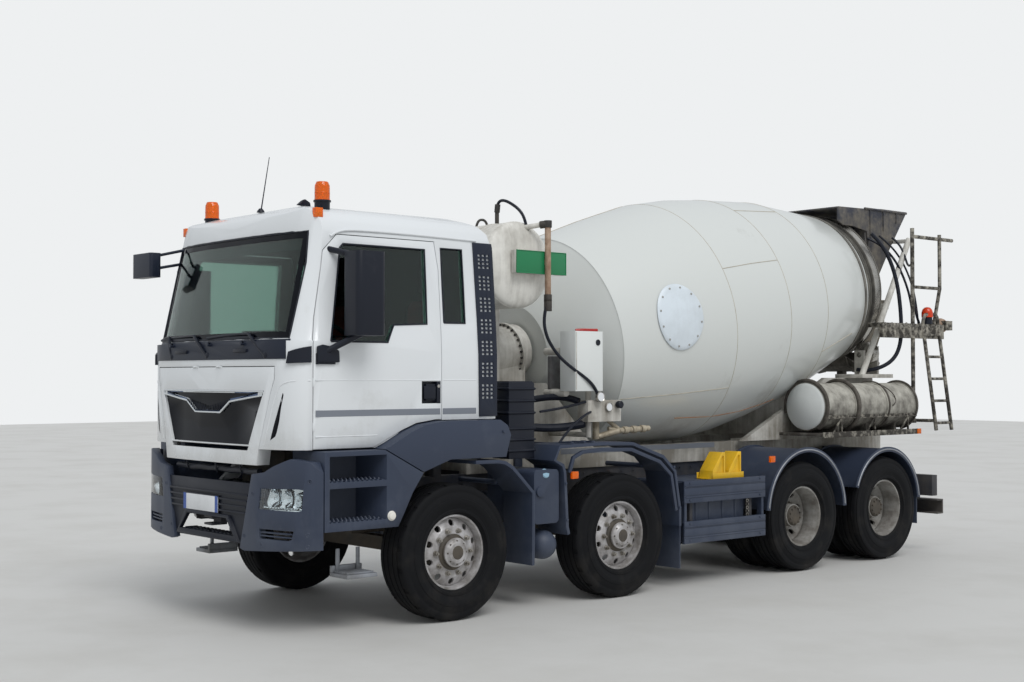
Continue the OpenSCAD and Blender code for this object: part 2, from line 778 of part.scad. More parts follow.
module cab_arches() {
    // the band over the first wheel, which tips with the cab
    from_front() both_sides() difference() {
        union() {
            side_plate(cab_x - 240, half_w, [
                [792, 1339], [1023, 1457], [1164, 1509], [1354, 1534], [1900, 1534], [1975, 1490], [2010, 1412],
                [1960, 1240], [1402, 1240], [1146, 1156]
            ]);
            side_plate(cab_x - 240, cab_x - 65, [[1023, 1450], [1023, 1463], [1164, 1515], [1354, 1540], [1900, 1540], [1900, 1520]]);
        }
        side_plate(cab_x - 250, half_w - 30, [
            [1900, 1500], [1950, 1440], [1950, 1200], [1402, 1200], [1100, 1100], [1146, 1200], [1402, 1270], [1402, 1500]
        ]);
    }
}

module cab_trim() {
    from_front() {
        // dark band under the windscreen
        intersection() {
            cab_skin(-6, 0);
            front_plate(-100, 250, mirrored([[cab_x - 135, 2000], [cab_x - 135, 2146]]));
        }
        // wipers: pivots, arms and blades
        difference() {
            for (x = [-600, 0, 500]) {
                bar([x, 10, 2120], [x + 60, 36, 2168], 8);
                bar([x - 220, 30, 2168], [x + 330, 40, 2182], 7);
                bar_y(x, 2, 120, 2120, 16);
            }
            cab_form(-6);
        }
        // front mirror beside the right end of the screen, on two arms
        difference() {
            union() {
                translate([-1280, 4, 2690]) linear_extrude(200) offset(r=25, $fn=32) translate([25, 25]) square([280, 50]);
                bar([-1100, 60, 2860], [cab_x * -0.75, 320, 2930], 12);
                bar([-1010, 60, 2760], [cab_x * -0.85, 300, 2810], 12);
            }
            cab_form(0);
        }
        // perforated duct panel at the back corners
        both_sides() difference() {
            intersection() {
                cab_skin(-10, 0);
                side_plate(900, 1300, [[1780, 1560], [1990, 1560], [1990, 2935], [1762, 2935]]);
            }
            for (g = [0:6], r = [0:3], c = [0:2])
                box([1000, 1300], [1806 + c * 44, 1834 + c * 44], [1700 + g * 172 + r * 32, 1716 + g * 172 + r * 32]);
        }
    }
}

module cab_interior() {
    from_front() {
        // dashboard with a raised cluster, seats and steering wheel
        side_plate(100 - cab_x, cab_x - 100, [[220, 1750], [220, 2090], [330, 2120], [560, 2080], [600, 1950], [520, 1760]]);
        side_plate(cab_x - 700, cab_x - 320, [[340, 2118], [400, 2180], [520, 2150], [560, 2080]]);
        for (x = [510 - cab_x, cab_x - 510]) {
            seat(x);
            box([x - 180, x + 180], [1100, 1500], [floor_z, 1721]);
        }
        translate([cab_x - 510, 800, 2100]) rotate([-55, 0, 0]) {
            rotate_extrude($fn=64) translate([215, 0]) circle(r=16, $fn=24);
            for (a = [30, 150, 270]) rotate([0, 0, a]) translate([30, -12, -10]) cube([180, 24, 14]);
            translate([0, 0, -330]) cylinder(r=45, h=340, $fn=32);
        }
    }
}

// cushion with bolsters, leaning back rest and head rest
module seat(x) {
    side_plate(x - 250, x + 250, [[1050, 1740], [1040, 1800], [1080, 1862], [1540, 1840], [1560, 1760], [1540, 1720], [1080, 1720]]);
    side_plate(x - 235, x + 235, [[1480, 1843], [1596, 2500], [1640, 2540], [1710, 2530], [1716, 2480], [1610, 1760], [1558, 1780]]);
    side_plate(x - 130, x + 130, [[1610, 2545], [1632, 2740], [1660, 2770], [1720, 2760], [1735, 2720], [1712, 2528], [1640, 2541]]);
}

module roof_beacons() {
    from_front() difference() {
        both_sides() {
            bar_z(cab_x - 290, 500, 3080, 3176, 58);
            bar_z(cab_x - 290, 500, 3176, 3190, 66);
            bar_z(cab_x - 290, 500, 3189, 3300, 56);
            translate([cab_x - 290, 500, 3300]) cylinder(r1=56, r2=44, h=28, $fn=48);
            // marker lamp at the roof corner
            box([cab_x - 160, cab_x - 110], [330, 390], [3040, 3110]);
        }
        cab_form(0);
    }
}

module door() {
    from_front() {
        difference() {
            intersection() {
                cab_skin(0, wall_t);
                door_zone(0);
            }
            window_zone(door_window);
            // recess for the hand behind the handle
            box([cab_x - 28, cab_x + 10], [1216, 1396], [1668, 1838]);
        }
        // handle bar and key plate
        box([cab_x - 28, cab_x - 8], [1262, 1350], [1690, 1816]);
        box([cab_x - 28, cab_x + 2], [1360, 1396], [1668, 1838]);
        // hinge leaves that meet the post of the cab
        for (z = [1480, 1800]) bar_z(cab_x - 12, 250, z, z + 60, 9);
    }
}

module door_glass() {
    from_front() intersection() {
        difference() {
            cab_form(12);
            cab_form(12 + glass_t);
        }
        window_zone(door_window);
    }
}

module door_glass_left() door_glass();
module door_glass_right() mirror([1, 0, 0]) door_glass();

module door_left() door();
module door_right() mirror([1, 0, 0]) door();

module mirror_body() {
    from_front() difference() {
        union() {
            // housing with two glass faces to the back
            difference() {
                translate([cab_x + 80, 480, 2170]) linear_extrude(610) offset(r=45, $fn=32) translate([15, 15]) square([120, 160]);
                box([cab_x + 90, cab_x + 220], [668, 700], [2400, 2750]);
                box([cab_x + 90, cab_x + 220], [668, 700], [2200, 2372]);
            }
            bar([cab_x - 80, 400, 2810], [cab_x + 160, 560, 2740], 22);
            bar([cab_x - 40, 290, 2020], [cab_x + 160, 560, 2190], 24);
            side_plate(cab_x - 40, cab_x + 15, [[262, 1962], [262, 2040], [300, 2064], [420, 2010], [420, 1962]]);
        }
        cab_form(0);
    }
}

module mirror_left() mirror_body();
module mirror_right() mirror([1, 0, 0]) mirror_body();

// left ends of the two hinges of the flap, and the height of their pins
flap_hinges = [-220, 140];
flap_z = 1947.5;
// grille opening: x, z
grille_front = [[-775, 1772], [775, 1772], [590, 1372], [-590, 1372]];
// upper wings of the grille, right half: x, z
wing_line = [[0, 1606], [190, 1606], [330, 1690], [745, 1742]];

module front_flap() {
    from_front() {
        difference() {
            intersection() {
                cab_skin(0, wall_t - 10);
                front_plate(-100, 140, flap_front);
            }
            intersection() {
                cab_skin(-10, 22);
                front_plate(-100, 140, grille_front);
            }
            front_plate(-100, 200, [[-575, 1330], [575, 1330], [590, 1362], [-590, 1362]]);
            for (x = flap_hinges) box([x - 2, x + 40 + fit_gap], [-10, 16], [1938, 1956]);
        }
        for (x = flap_hinges) bar_x(x + 40 + fit_gap, x + 80, 6, flap_z, 6);
        // wings that stand in the grille
        intersection() {
            cab_skin(4, 23);
            union() {
                both_sides() for (i = [0:2]) front_plate(-100, 140, [
                    wing_line[i], wing_line[i + 1], wing_line[i + 1] + [0, 16], wing_line[i] + [0, 16]
                ]);
                front_plate(-100, 140, [[-765, 1752], [765, 1752], [775, 1772], [-775, 1772]]);
            }
        }
    }
}

/* wheels */

module knuckle(i, side) {
    from_front() scale([side, 1, 1]) {
        translate([kingpin_x, axle_y[i], wheel_z]) {
            // forked block round the beam end, the stub axle and the brake plate
            difference() {
                translate([0, 0, -110]) cylinder(r=52, h=220, $fn=48);
                translate([-120, -80, -70]) cube([180, 160, 130]);
            }
            difference() {
                translate([20, -60, -110]) cube([60, 120, 220]);
                translate([-40, 0, -70]) cylinder(r=96, h=130, $fn=64);
            }
            translate([60, 0, 0]) rotate([0, 90, 0]) cylinder(r=60, h=152, $fn=64);
            translate([0, 0, -100]) cylinder(r=pin_r, h=200, $fn=48);
        }
    }
}

module knuckle_1_left() knuckle(0, 1);
module knuckle_1_right() knuckle(0, -1);
module knuckle_2_left() knuckle(1, 1);
module knuckle_2_right() knuckle(1, -1);

// half outline of a tyre: x from its middle, radius
module tyre_body(x) {
    h = tyre_w / 2;
    translate([x, 0, 0]) rotate([0, 90, 0]) rotate_extrude($fn=96) polygon([
        [rim_r - 10, -h + 42], [rim_r + 30, -h + 10], [rim_r + 110, -h], [tyre_r - 60, -h + 14], [tyre_r - 18, -h + 26],
        [tyre_r, -h + 60], [tyre_r, h - 60], [tyre_r - 18, h - 26], [tyre_r - 60, h - 14], [rim_r + 110, h],
        [rim_r + 30, h - 10], [rim_r - 10, h - 42]
    ]);
}

module tyre(i, side) {
    from_front() translate([0, axle_y[i], wheel_z]) scale([side, 1, 1]) {
        tyre_body(wheel_x);
        if (i > 1) tyre_body(wheel_x - twin_pitch);
    }
}

module rim(i, side) {
    // the disc is dished outwards on a steered wheel and inwards on a driven one
    h = tyre_w / 2 - 42;
    from_front() translate([0, axle_y[i], wheel_z]) scale([side, 1, 1]) rotate([0, 90, 0]) {
        translate([0, 0, wheel_x]) rotate_extrude($fn=96) polygon([
            [rim_r - 10, -h], [rim_r - 10, h], [rim_r - 24, h], [rim_r - 40, 40], [rim_r - 40, -40], [rim_r - 24, -h]
        ]);
        if (i > 1) {
            translate([0, 0, wheel_x - twin_pitch]) rotate_extrude($fn=96) polygon([
                [rim_r - 10, -h], [rim_r - 10, h], [rim_r - 24, h], [rim_r - 40, 40], [rim_r - 40, -40], [rim_r - 24, -h]
            ]);
            translate([0, 0, wheel_x - twin_pitch / 2]) difference() {
                union() {
                    for (m = [0, 1]) mirror([0, 0, m]) rotate_extrude($fn=96) polygon([
                        [100, -1], [190, -1], [262, 78], [262, 98], [182, 18], [100, 18]
                    ]);
                    translate([0, 0, -120]) cylinder(r=110, h=300, $fn=64);
                }
                translate([0, 0, -300]) cylinder(r=60 + fit_gap, h=300, $fn=64);
                for (a = [0:36:324]) rotate([0, 0, a]) translate([219, 0, -150]) cylinder(r=24, h=300, $fn=24);
            }
        } else {
            translate([0, 0, wheel_x]) difference() {
                union() {
                    // flat disc for the nuts, cone out to the rim, and the hub
                    rotate_extrude($fn=96) polygon([
                        [100, 92], [192, 92], [258, 56], [258, 38], [190, 76], [100, 76]
                    ]);
                    translate([0, 0, -10]) cylinder(r=112, h=150, $fn=64);
                    translate([0, 0, 140]) cylinder(r1=100, r2=78, h=20, $fn=64);
                }
                translate([0, 0, -100]) cylinder(r=60 + fit_gap, h=170, $fn=64);
                for (a = [0:36:324]) rotate([0, 0, a]) translate([224, 0, 0]) cylinder(r=25, h=200, $fn=24);
            }
        }
    }
}

module tyre_1_left() tyre(0, 1);
module tyre_1_right() tyre(0, -1);
module tyre_2_left() tyre(1, 1);
module tyre_2_right() tyre(1, -1);
module tyre_3_left() tyre(2, 1);
module tyre_3_right() tyre(2, -1);
module tyre_4_left() tyre(3, 1);
module tyre_4_right() tyre(3, -1);
module rim_1_left() rim(0, 1);
module rim_1_right() rim(0, -1);
module rim_2_left() rim(1, 1);
module rim_2_right() rim(1, -1);
module rim_3_left() rim(2, 1);
module rim_3_right() rim(2, -1);
module rim_4_left() rim(3, 1);
module rim_4_right() rim(3, -1);

/* drum and chute */

module drum() {
    n = len(drum_table);
    from_front() translate([0, drum_start[0], drum_start[1]]) rotate([drum_slope - 90, 0, 0]) {
        rotate_extrude($fn=128) polygon(concat(
            [[0, drum_table[0][0]]],
            [for (p = drum_table) [p[1], p[0]]],
            [[drum_table[n - 1][1] - drum_t, drum_table[n - 1][0]]],
            [for (i = [n - 2:-1:1]) [drum_table[i][1] - drum_t * 1.1, drum_table[i][0]]],
            [[drum_table[0][1] - drum_t, drum_table[0][0] + drum_t * 1.3], [0, drum_table[0][0] + drum_t * 1.3]]
        ));
        // ring that runs on the rollers
        translate([0, 0, ring_s - ring_w / 2]) difference() {
            cylinder(r=ring_r, h=ring_w, $fn=128);
            translate([0, 0, -1]) cylinder(r=ring_r - 120, h=ring_w + 2, $fn=128);
        }
        // cover of the manhole on the left side
        intersection() {
            rotate_extrude($fn=128) polygon(concat(
                [for (i = [1:4]) [drum_table[i][1] - 2, drum_table[i][0]]],
                [for (i = [4:-1:1]) [drum_table[i][1] + 10, drum_table[i][0]]]
            ));
            rotate([0, 0, -6.5]) translate([600, 0, 650]) rotate([0, 90, 0]) scale([250, 300, 1]) cylinder(r=1, h=700, $fn=64);
        }
    }
}

module roller_left() {
    from_front() translate([roller_x, roller_y, roller_z]) rotate([drum_slope - 90, 0, 0]) {
        cylinder(r=roller_r, h=110, center=true, $fn=64);
        cylinder(r=30, h=290, center=true, $fn=64);
    }
}

module roller_right() mirror([1, 0, 0]) roller_left();

module chute_arm() {
    from_front() translate([0, swivel_y, 0]) {
        difference() {
            union() {
                bar_z(0, 0, 1330, tilt_z - 110, 78);
                box([-30, 30], [-70, 70], [tilt_z - 111, tilt_z - 90]);
                for (y = [-70, 50]) side_plate_y(y, y + 20, [[-140, tilt_z - 110], [30, tilt_z - 110], [30, tilt_z - 60], [-60, tilt_z + 30], [-140, tilt_z + 30]]);
                for (y = [-60, 40]) box([-185, -60], [y, y + 20], [1350, 1425]);
                translate([ram_foot[0], 0, ram_foot[1]]) rotate([90, 0, 0]) cylinder(r=14, h=120, center=true, $fn=48);
                translate([-100, 0, tilt_z]) rotate([90, 0, 0]) cylinder(r=18, h=140, center=true, $fn=48);
            }
            translate([0, 0, 1200]) cylinder(r=50 + fit_gap, h=tilt_z - 115 - 1200, $fn=48);
        }
    }
}

module side_plate_y(y0, y1, pts) translate([0, y1, 0]) rotate([90, 0, 0]) linear_extrude(y1 - y0) polygon(pts);

// half section of the trough: y from its middle, height
trough = [[0, 0], [110, 16], [190, 66], [232, 140], [250, 224]];

module trough_wall(x0, x1, out, thick) {
    // outer line at the given distance below the trough, then back along the inner line
    translate([x0, 0, 0]) rotate([90, 0, 90]) linear_extrude(x1 - x0) difference() {
        offset(delta=out) polygon(mirrored(concat(trough, [[0, 224]])));
        offset(delta=out - thick) polygon(mirrored(concat(trough, [[0, 224]])));
        translate([-300, 223]) square([600, 60]);
    }
}

module chute() {
    // trough that points to the right side of the truck, with a collar at its inner end
    from_front() translate([0, swivel_y, 1930]) {
        difference() {
            union() {
                trough_wall(-1100, 250, 0, 10);
                for (x = [-1100, -760, -420, 130]) trough_wall(x, x + 12, 22, 24);
                trough_wall(214, 250, 30, 32);
            }
            // the inner end slopes down, so that it passes under the hopper when the chute is lowered
            side_plate_y(-320, 320, [[20, 224], [260, 95], [260, 300], [20, 300]]);
        }
        difference() {
            box([-140, -60], [-40, 40], [-105, 8]);
            translate([-100, 0, tilt_z - 1930]) rotate([90, 0, 0]) cylinder(r=18 + fit_gap, h=140, center=true, $fn=48);
        }
        for (y = [-45, 25]) box([-650, -590], [y, y + 20], [-110, 8]);
        translate([ram_eye[0], 0, ram_eye[1] - 1930]) rotate([90, 0, 0]) cylinder(r=10, h=88, center=true, $fn=48);
    }
}

// foot pin of the cylinder and eye pin of its rod, in x and z
ram_foot = [-150, 1390];
ram_eye = [-620, 1852];
ram_tilt = atan2(ram_eye[0] - ram_foot[0], ram_eye[1] - ram_foot[1]);
ram_l = norm(ram_eye - ram_foot);

module ram_place() from_front() translate([ram_foot[0], swivel_y, ram_foot[1]]) rotate([0, ram_tilt, 0]) children();

module chute_cylinder() {
    ram_place() difference() {
        union() {
            translate([0, 0, 30]) cylinder(r=34, h=360, $fn=48);
            rotate([90, 0, 0]) cylinder(r=34, h=40, center=true, $fn=48);
        }
        translate([0, 0, 60]) cylinder(r=18 + fit_gap, h=400, $fn=48);
        rotate([90, 0, 0]) cylinder(r=14 + fit_gap, h=60, center=true, $fn=48);
    }
}

module chute_rod() {
    ram_place() difference() {
        union() {
            translate([0, 0, 245]) cylinder(r=18, h=ram_l - 265, $fn=48);
            translate([0, 0, ram_l]) rotate([90, 0, 0]) cylinder(r=34, h=36, center=true, $fn=48);
        }
        translate([0, 0, ram_l]) rotate([90, 0, 0]) cylinder(r=18, h=60, center=true, $fn=48);
    }
}

color("dimgray") frame();
color("white") mixer_frame();
color("slategray") bumper();
color("gainsboro") lamps();
color("slategray") cab_steps();
color("dimgray") axles();
color("gray") engine();
color("darkslategray") air_intake();
color("slategray") side_tanks();
color("dimgray") side_boxes();
color("slategray") side_guards();
color("gold") wheel_chocks();
color("slategray") mudguards();
color("black") bumper_grid();
color("ivory") drum_gearbox();
color("ivory") water_tank();
color("lightgray") water_panel();
color("darkgray") chute_rack();
color("dimgray") hoppers();
color("tan") platform();
color("white") cab_shell();
color("lightblue") cab_glass();
color("slategray") cab_arches();
color("darkslategray") cab_trim();
color("dimgray") cab_interior();
color("orange") roof_beacons();
color("white") door_left();
color("white") door_right();
color("lightblue") door_glass_left();
color("lightblue") door_glass_right();
color("darkslategray") mirror_left();
color("darkslategray") mirror_right();
color("white") front_flap();
color("dimgray") knuckle_1_left();
color("dimgray") knuckle_1_right();
color("dimgray") knuckle_2_left();
color("dimgray") knuckle_2_right();
color("darkslategray") tyre_1_left();
color("darkslategray") tyre_1_right();
color("darkslategray") tyre_2_left();
color("darkslategray") tyre_2_right();
color("darkslategray") tyre_3_left();
color("darkslategray") tyre_3_right();
color("darkslategray") tyre_4_left();
color("darkslategray") tyre_4_right();
color("silver") rim_1_left();
color("silver") rim_1_right();
color("silver") rim_2_left();
color("silver") rim_2_right();
color("silver") rim_3_left();
color("silver") rim_3_right();
color("silver") rim_4_left();
color("silver") rim_4_right();
color("ivory") drum();
color("gray") roller_left();
color("gray") roller_right();
color("dimgray") chute_arm();
color("lightgray") chute();
color("gray") chute_cylinder();
color("silver") chute_rod();
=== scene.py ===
import bpy, json, math
from mathutils import Matrix, Vector


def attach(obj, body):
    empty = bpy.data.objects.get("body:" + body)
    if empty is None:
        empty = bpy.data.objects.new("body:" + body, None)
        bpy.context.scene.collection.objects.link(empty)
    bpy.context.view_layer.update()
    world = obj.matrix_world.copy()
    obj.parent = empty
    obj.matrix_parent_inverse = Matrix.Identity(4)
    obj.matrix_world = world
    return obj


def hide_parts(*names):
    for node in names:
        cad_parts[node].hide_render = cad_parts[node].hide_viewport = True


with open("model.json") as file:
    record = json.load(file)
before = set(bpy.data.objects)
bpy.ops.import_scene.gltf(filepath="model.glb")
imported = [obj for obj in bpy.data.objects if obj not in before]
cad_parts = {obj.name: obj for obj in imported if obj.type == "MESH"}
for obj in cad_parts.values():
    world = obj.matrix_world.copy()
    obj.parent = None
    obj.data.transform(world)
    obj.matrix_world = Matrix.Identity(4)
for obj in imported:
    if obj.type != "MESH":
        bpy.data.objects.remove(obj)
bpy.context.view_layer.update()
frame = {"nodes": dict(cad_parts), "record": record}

frontReach = 4.45  # the bumper front is this far before the middle of the truck
upward, forward, sideways = (0, 0, 1), (0, -1, 0), (1, 0, 0)


def at(x, y, z):
    return Vector((x, y - frontReach, z))  # y counted back from the bumper front


# small helpers for places and tables


def route(points):
    return [at(*point) for point in points]


def spaced(first, last, count):
    return [first + (last - first) * k / (count - 1) for k in range(count)]


def divided(points, count):
    # each stretch between two points cut into equal parts
    path = [(a[0] + (b[0] - a[0]) * k / count, a[1] + (b[1] - a[1]) * k / count)
            for a, b in zip(points, points[1:]) for k in range(count)]
    return path + [points[-1]]


def arcPoints(radius, first, last, count):
    turns = [math.radians(degrees) for degrees in spaced(first, last, count + 1)]
    return [(radius * math.cos(turn), radius * math.sin(turn)) for turn in turns]


def onTable(table, value):
    for (a, va), (b, vb) in zip(table, table[1:]):
        if value <= b:
            return va + (vb - va) * (value - a) / (b - a)
    return table[-1][1]


# small helpers for shapes and pieces


def clearSelection():
    bpy.ops.object.select_all(action="DESELECT")


def focus(*pieces):
    clearSelection()
    for piece in pieces:
        piece.select_set(True)
    bpy.context.view_layer.objects.active = pieces[0]


def applyModifier(piece, kind, **settings):
    focus(piece)
    modifier = piece.modifiers.new(kind.lower(), kind)
    for name, value in settings.items():
        setattr(modifier, name, value)
    bpy.ops.object.modifier_apply(modifier=modifier.name)


def roundEdges(piece, width, segments=2, angle=30):
    applyModifier(piece, "BEVEL", width=width, segments=segments, limit_method="ANGLE",
                  angle_limit=math.radians(angle))


def settle(piece):
    focus(piece)
    bpy.ops.object.transform_apply(location=True, rotation=True, scale=True)


def mendNormals(piece, doubles=0.00005):
    focus(piece)
    bpy.ops.object.mode_set(mode="EDIT")
    bpy.ops.mesh.select_all(action="SELECT")
    bpy.ops.mesh.remove_doubles(threshold=doubles)
    bpy.ops.mesh.normals_make_consistent(inside=False)
    bpy.ops.object.mode_set(mode="OBJECT")


def block(low, high, edge=0.004, segments=2):
    clearSelection()
    low, high = Vector(low), Vector(high)
    bpy.ops.mesh.primitive_cube_add(size=1, location=(low + high) / 2, scale=high - low)
    piece = bpy.context.object
    settle(piece)
    roundEdges(piece, edge, segments)
    return piece


def rod(start, end, radius, edge=0.002, sides=24, endRadius=None):
    clearSelection()
    start, end = Vector(start), Vector(end)
    span = end - start
    tip = radius if endRadius is None else endRadius
    turn = span.to_track_quat("Z", "Y").to_euler()
    bpy.ops.mesh.primitive_cone_add(vertices=sides, radius1=radius, radius2=tip, depth=span.length,
                                    location=(start + end) / 2, rotation=turn)
    piece = bpy.context.object
    settle(piece)
    if edge:
        roundEdges(piece, edge, 2, 40)
    return piece


def hose(points, radius, resolution=4, smooth=True, sides=3):
    clearSelection()
    bpy.ops.curve.primitive_nurbs_path_add(location=(0, 0, 0))
    piece = bpy.context.object
    path = piece.data
    path.splines.clear()
    spline = path.splines.new("NURBS" if smooth else "POLY")
    spline.points.add(len(points) - 1)
    for point, place in zip(spline.points, points):
        point.co = (*place, 1)
    if smooth:
        spline.order_u = min(4, len(points))
        spline.use_endpoint_u = True
        spline.resolution_u = resolution
    path.dimensions = "3D"
    path.bevel_depth = radius
    path.bevel_resolution = sides
    path.use_fill_caps = True
    focus(piece)
    bpy.ops.object.convert(target="MESH")
    piece = bpy.context.object
    mendNormals(piece)
    return piece


def plate(outline, thickness, edge=0.003, segments=2):
    clearSelection()
    bpy.ops.mesh.primitive_circle_add(vertices=len(outline), fill_type="NGON", location=(0, 0, 0))
    piece = bpy.context.object
    for vertex, place in zip(piece.data.vertices, outline):
        vertex.co = place
    bpy.ops.object.mode_set(mode="EDIT")
    bpy.ops.mesh.select_all(action="SELECT")
    bpy.ops.mesh.extrude_region_move(TRANSFORM_OT_translate={"value": Vector(thickness)})
    bpy.ops.mesh.select_all(action="SELECT")
    bpy.ops.mesh.normals_make_consistent(inside=False)
    bpy.ops.object.mode_set(mode="OBJECT")
    if edge:
        roundEdges(piece, edge, segments)
    return piece


def turned(centre, axis, profile, steps=64, edge=0):
    clearSelection()
    centre, axis = Vector(centre), Vector(axis).normalized()
    outward = axis.orthogonal().normalized()
    bpy.ops.mesh.primitive_circle_add(vertices=len(profile), fill_type="NOTHING", location=(0, 0, 0))
    piece = bpy.context.object
    for vertex, (along, radius) in zip(piece.data.vertices, profile):
        vertex.co = centre + axis * along + outward * radius
    bpy.ops.object.mode_set(mode="EDIT")
    bpy.ops.mesh.select_all(action="SELECT")
    bpy.ops.mesh.spin(steps=steps, angle=math.tau, center=centre, axis=axis)
    bpy.ops.mesh.select_all(action="SELECT")
    bpy.ops.mesh.remove_doubles(threshold=0.00005)
    bpy.ops.mesh.normals_make_consistent(inside=False)
    bpy.ops.object.mode_set(mode="OBJECT")
    if edge:
        roundEdges(piece, edge, 2, 35)
    return piece


def copied(piece, shift=(0, 0, 0), turn=None):
    twin = piece.copy()
    twin.data = piece.data.copy()
    bpy.context.collection.objects.link(twin)
    twin.data.transform(Matrix.Translation(Vector(shift)) @ (turn or Matrix.Identity(4)))
    return twin


def aroundAxis(piece, centre, axis, count, first=0):
    centre = Vector(centre)
    ring = []
    for step in range(count):
        turn = Matrix.Rotation(math.tau * (step + first) / count, 4, Vector(axis))
        ring.append(copied(piece, turn=Matrix.Translation(centre) @ turn @ Matrix.Translation(-centre)))
    bpy.data.objects.remove(piece)
    return ring


def otherSide(piece):
    twin = copied(piece, turn=Matrix.Scale(-1, 4, (1, 0, 0)))
    focus(twin)
    bpy.ops.object.mode_set(mode="EDIT")
    bpy.ops.mesh.select_all(action="SELECT")
    bpy.ops.mesh.flip_normals()
    bpy.ops.object.mode_set(mode="OBJECT")
    return twin


def joined(pieces):
    pieces = list(pieces)
    focus(*pieces)
    if len(pieces) > 1:
        bpy.ops.object.join()
    return bpy.context.object


def finishPiece(name, piece, body, material, smooth=35, replaced=()):
    piece.name = name
    piece.data.name = name
    settle(piece)
    bpy.ops.object.shade_smooth_by_angle(angle=math.radians(smooth))
    if material is not None:
        piece.data.materials.clear()
        piece.data.materials.append(material)
    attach(piece, body)
    if replaced:
        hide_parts(*replaced)
    return piece


def bothSides(name, piece, bodies, material, smooth=35):
    finishPiece(name + "Right", otherSide(piece), bodies[1], material, smooth)
    return finishPiece(name + "Left", piece, bodies[0], material, smooth)


def paintWhere(piece, material, test):
    piece.data.materials.append(material)
    index = len(piece.data.materials) - 1
    for face in piece.data.polygons:
        middle = face.center
        if test(middle.x, middle.y + frontReach, middle.z, face.normal):
            face.material_index = index


# materials


def toLinear(colour):
    parts = [int(colour[i:i + 2], 16) / 255 for i in (1, 3, 5)]
    return [c / 12.92 if c <= 0.04045 else ((c + 0.055) / 1.055) ** 2.4 for c in parts] + [1.0]


def addNode(tree, kind, settings=None, links=None):
    node = tree.nodes.new(kind)
    for name, value in (settings or {}).items():
        if isinstance(name, str) and hasattr(node, name):
            setattr(node, name, value)
        else:
            node.inputs[name].default_value = value
    for name, source in (links or {}).items():
        tree.links.new(source, node.inputs[name])
    return node


# what a finish has unless its own look says otherwise; sizes and heights in metres
plainLook = {
    "metallic": 0.0, "specular": 0.5, "coat": 0.0,
    "roughness": (0.35, 0.7),  # clean, soiled
    "soiled": 0.4, "thickest": 0.85,  # share of the surface under soil, and how much soil hides
    "patch": 0.4, "runs": 0.15, "runWidth": 0.04,  # size of patches, share and width of run marks
    "lowSoil": (0.4, 1.8), "lowShare": 0.3,  # soil grows from the upper to the lower of these heights
    "rearSoil": None, "rearShare": 0.35,  # soil grows between these two places along the truck
    "grain": 0.006, "bump": 0.15, "depth": 0.0006}


def weatheredFinish(name, colour, soil, ownLook):
    # the base colour, a soil that gathers low down, in patches and in run marks, and a fine bump
    look = {**plainLook, **ownLook}
    material = bpy.data.materials.new(name)
    material.use_nodes = True
    tree = material.node_tree
    shader = tree.nodes["Principled BSDF"]
    shader.inputs["Metallic"].default_value = look["metallic"]
    shader.inputs["Specular IOR Level"].default_value = look["specular"]
    shader.inputs["Coat Weight"].default_value = look["coat"]
    shader.inputs["Coat Roughness"].default_value = 0.08
    place = addNode(tree, "ShaderNodeTexCoord").outputs["Object"]
    patches = addNode(tree, "ShaderNodeTexNoise",
                      {"Scale": 1 / look["patch"], "Detail": 7.0, "Roughness": 0.62}, {"Vector": place})
    stretched = addNode(tree, "ShaderNodeMapping", {"Scale": (1, 1, 0.07)}, {"Vector": place})
    runs = addNode(tree, "ShaderNodeTexNoise", {"Scale": 1 / look["runWidth"], "Detail": 3.0},
                   {"Vector": stretched.outputs[0]})
    axes = addNode(tree, "ShaderNodeSeparateXYZ", links={0: place}).outputs
    low, high = look["lowSoil"]
    fading = {"From Min": low, "From Max": high, "To Min": 1.0, "To Max": 0.0}
    lowness = addNode(tree, "ShaderNodeMapRange", fading, {"Value": axes[2]})
    total = addNode(tree, "ShaderNodeMath", {"operation": "MULTIPLY_ADD", 1: look["lowShare"]},
                    {0: lowness.outputs[0], 2: patches.outputs["Fac"]})
    total = addNode(tree, "ShaderNodeMath", {"operation": "MULTIPLY_ADD", 1: look["runs"]},
                    {0: runs.outputs["Fac"], 2: total.outputs[0]})
    if look["rearSoil"]:
        near, far = look["rearSoil"]
        rearness = addNode(tree, "ShaderNodeMapRange", {"From Min": near, "From Max": far},
                           {"Value": axes[1]})
        total = addNode(tree, "ShaderNodeMath", {"operation": "MULTIPLY_ADD", 1: look["rearShare"]},
                        {0: rearness.outputs[0], 2: total.outputs[0]})
    start = 1.05 - look["soiled"]
    spread = {"From Min": start - 0.1, "From Max": start + 0.35, "To Min": 0.0, "To Max": look["thickest"]}
    mask = addNode(tree, "ShaderNodeMapRange", spread, {"Value": total.outputs[0]})
    shade = addNode(tree, "ShaderNodeMix", {"data_type": "RGBA", 6: toLinear(colour), 7: toLinear(soil)},
                    {0: mask.outputs[0]})
    tree.links.new(shade.outputs[2], shader.inputs["Base Color"])
    clean, dirty = look["roughness"]
    rough = addNode(tree, "ShaderNodeMapRange", {"To Min": clean, "To Max": dirty},
                    {"Value": mask.outputs[0]})
    tree.links.new(rough.outputs[0], shader.inputs["Roughness"])
    grain = addNode(tree, "ShaderNodeTexNoise", {"Scale": 1 / look["grain"], "Detail": 2.0},
                    {"Vector": place})
    bump = addNode(tree, "ShaderNodeBump", {"Strength": look["bump"], "Distance": look["depth"]},
                   {"Height": grain.outputs["Fac"]})
    tree.links.new(bump.outputs[0], shader.inputs["Normal"])
    return material


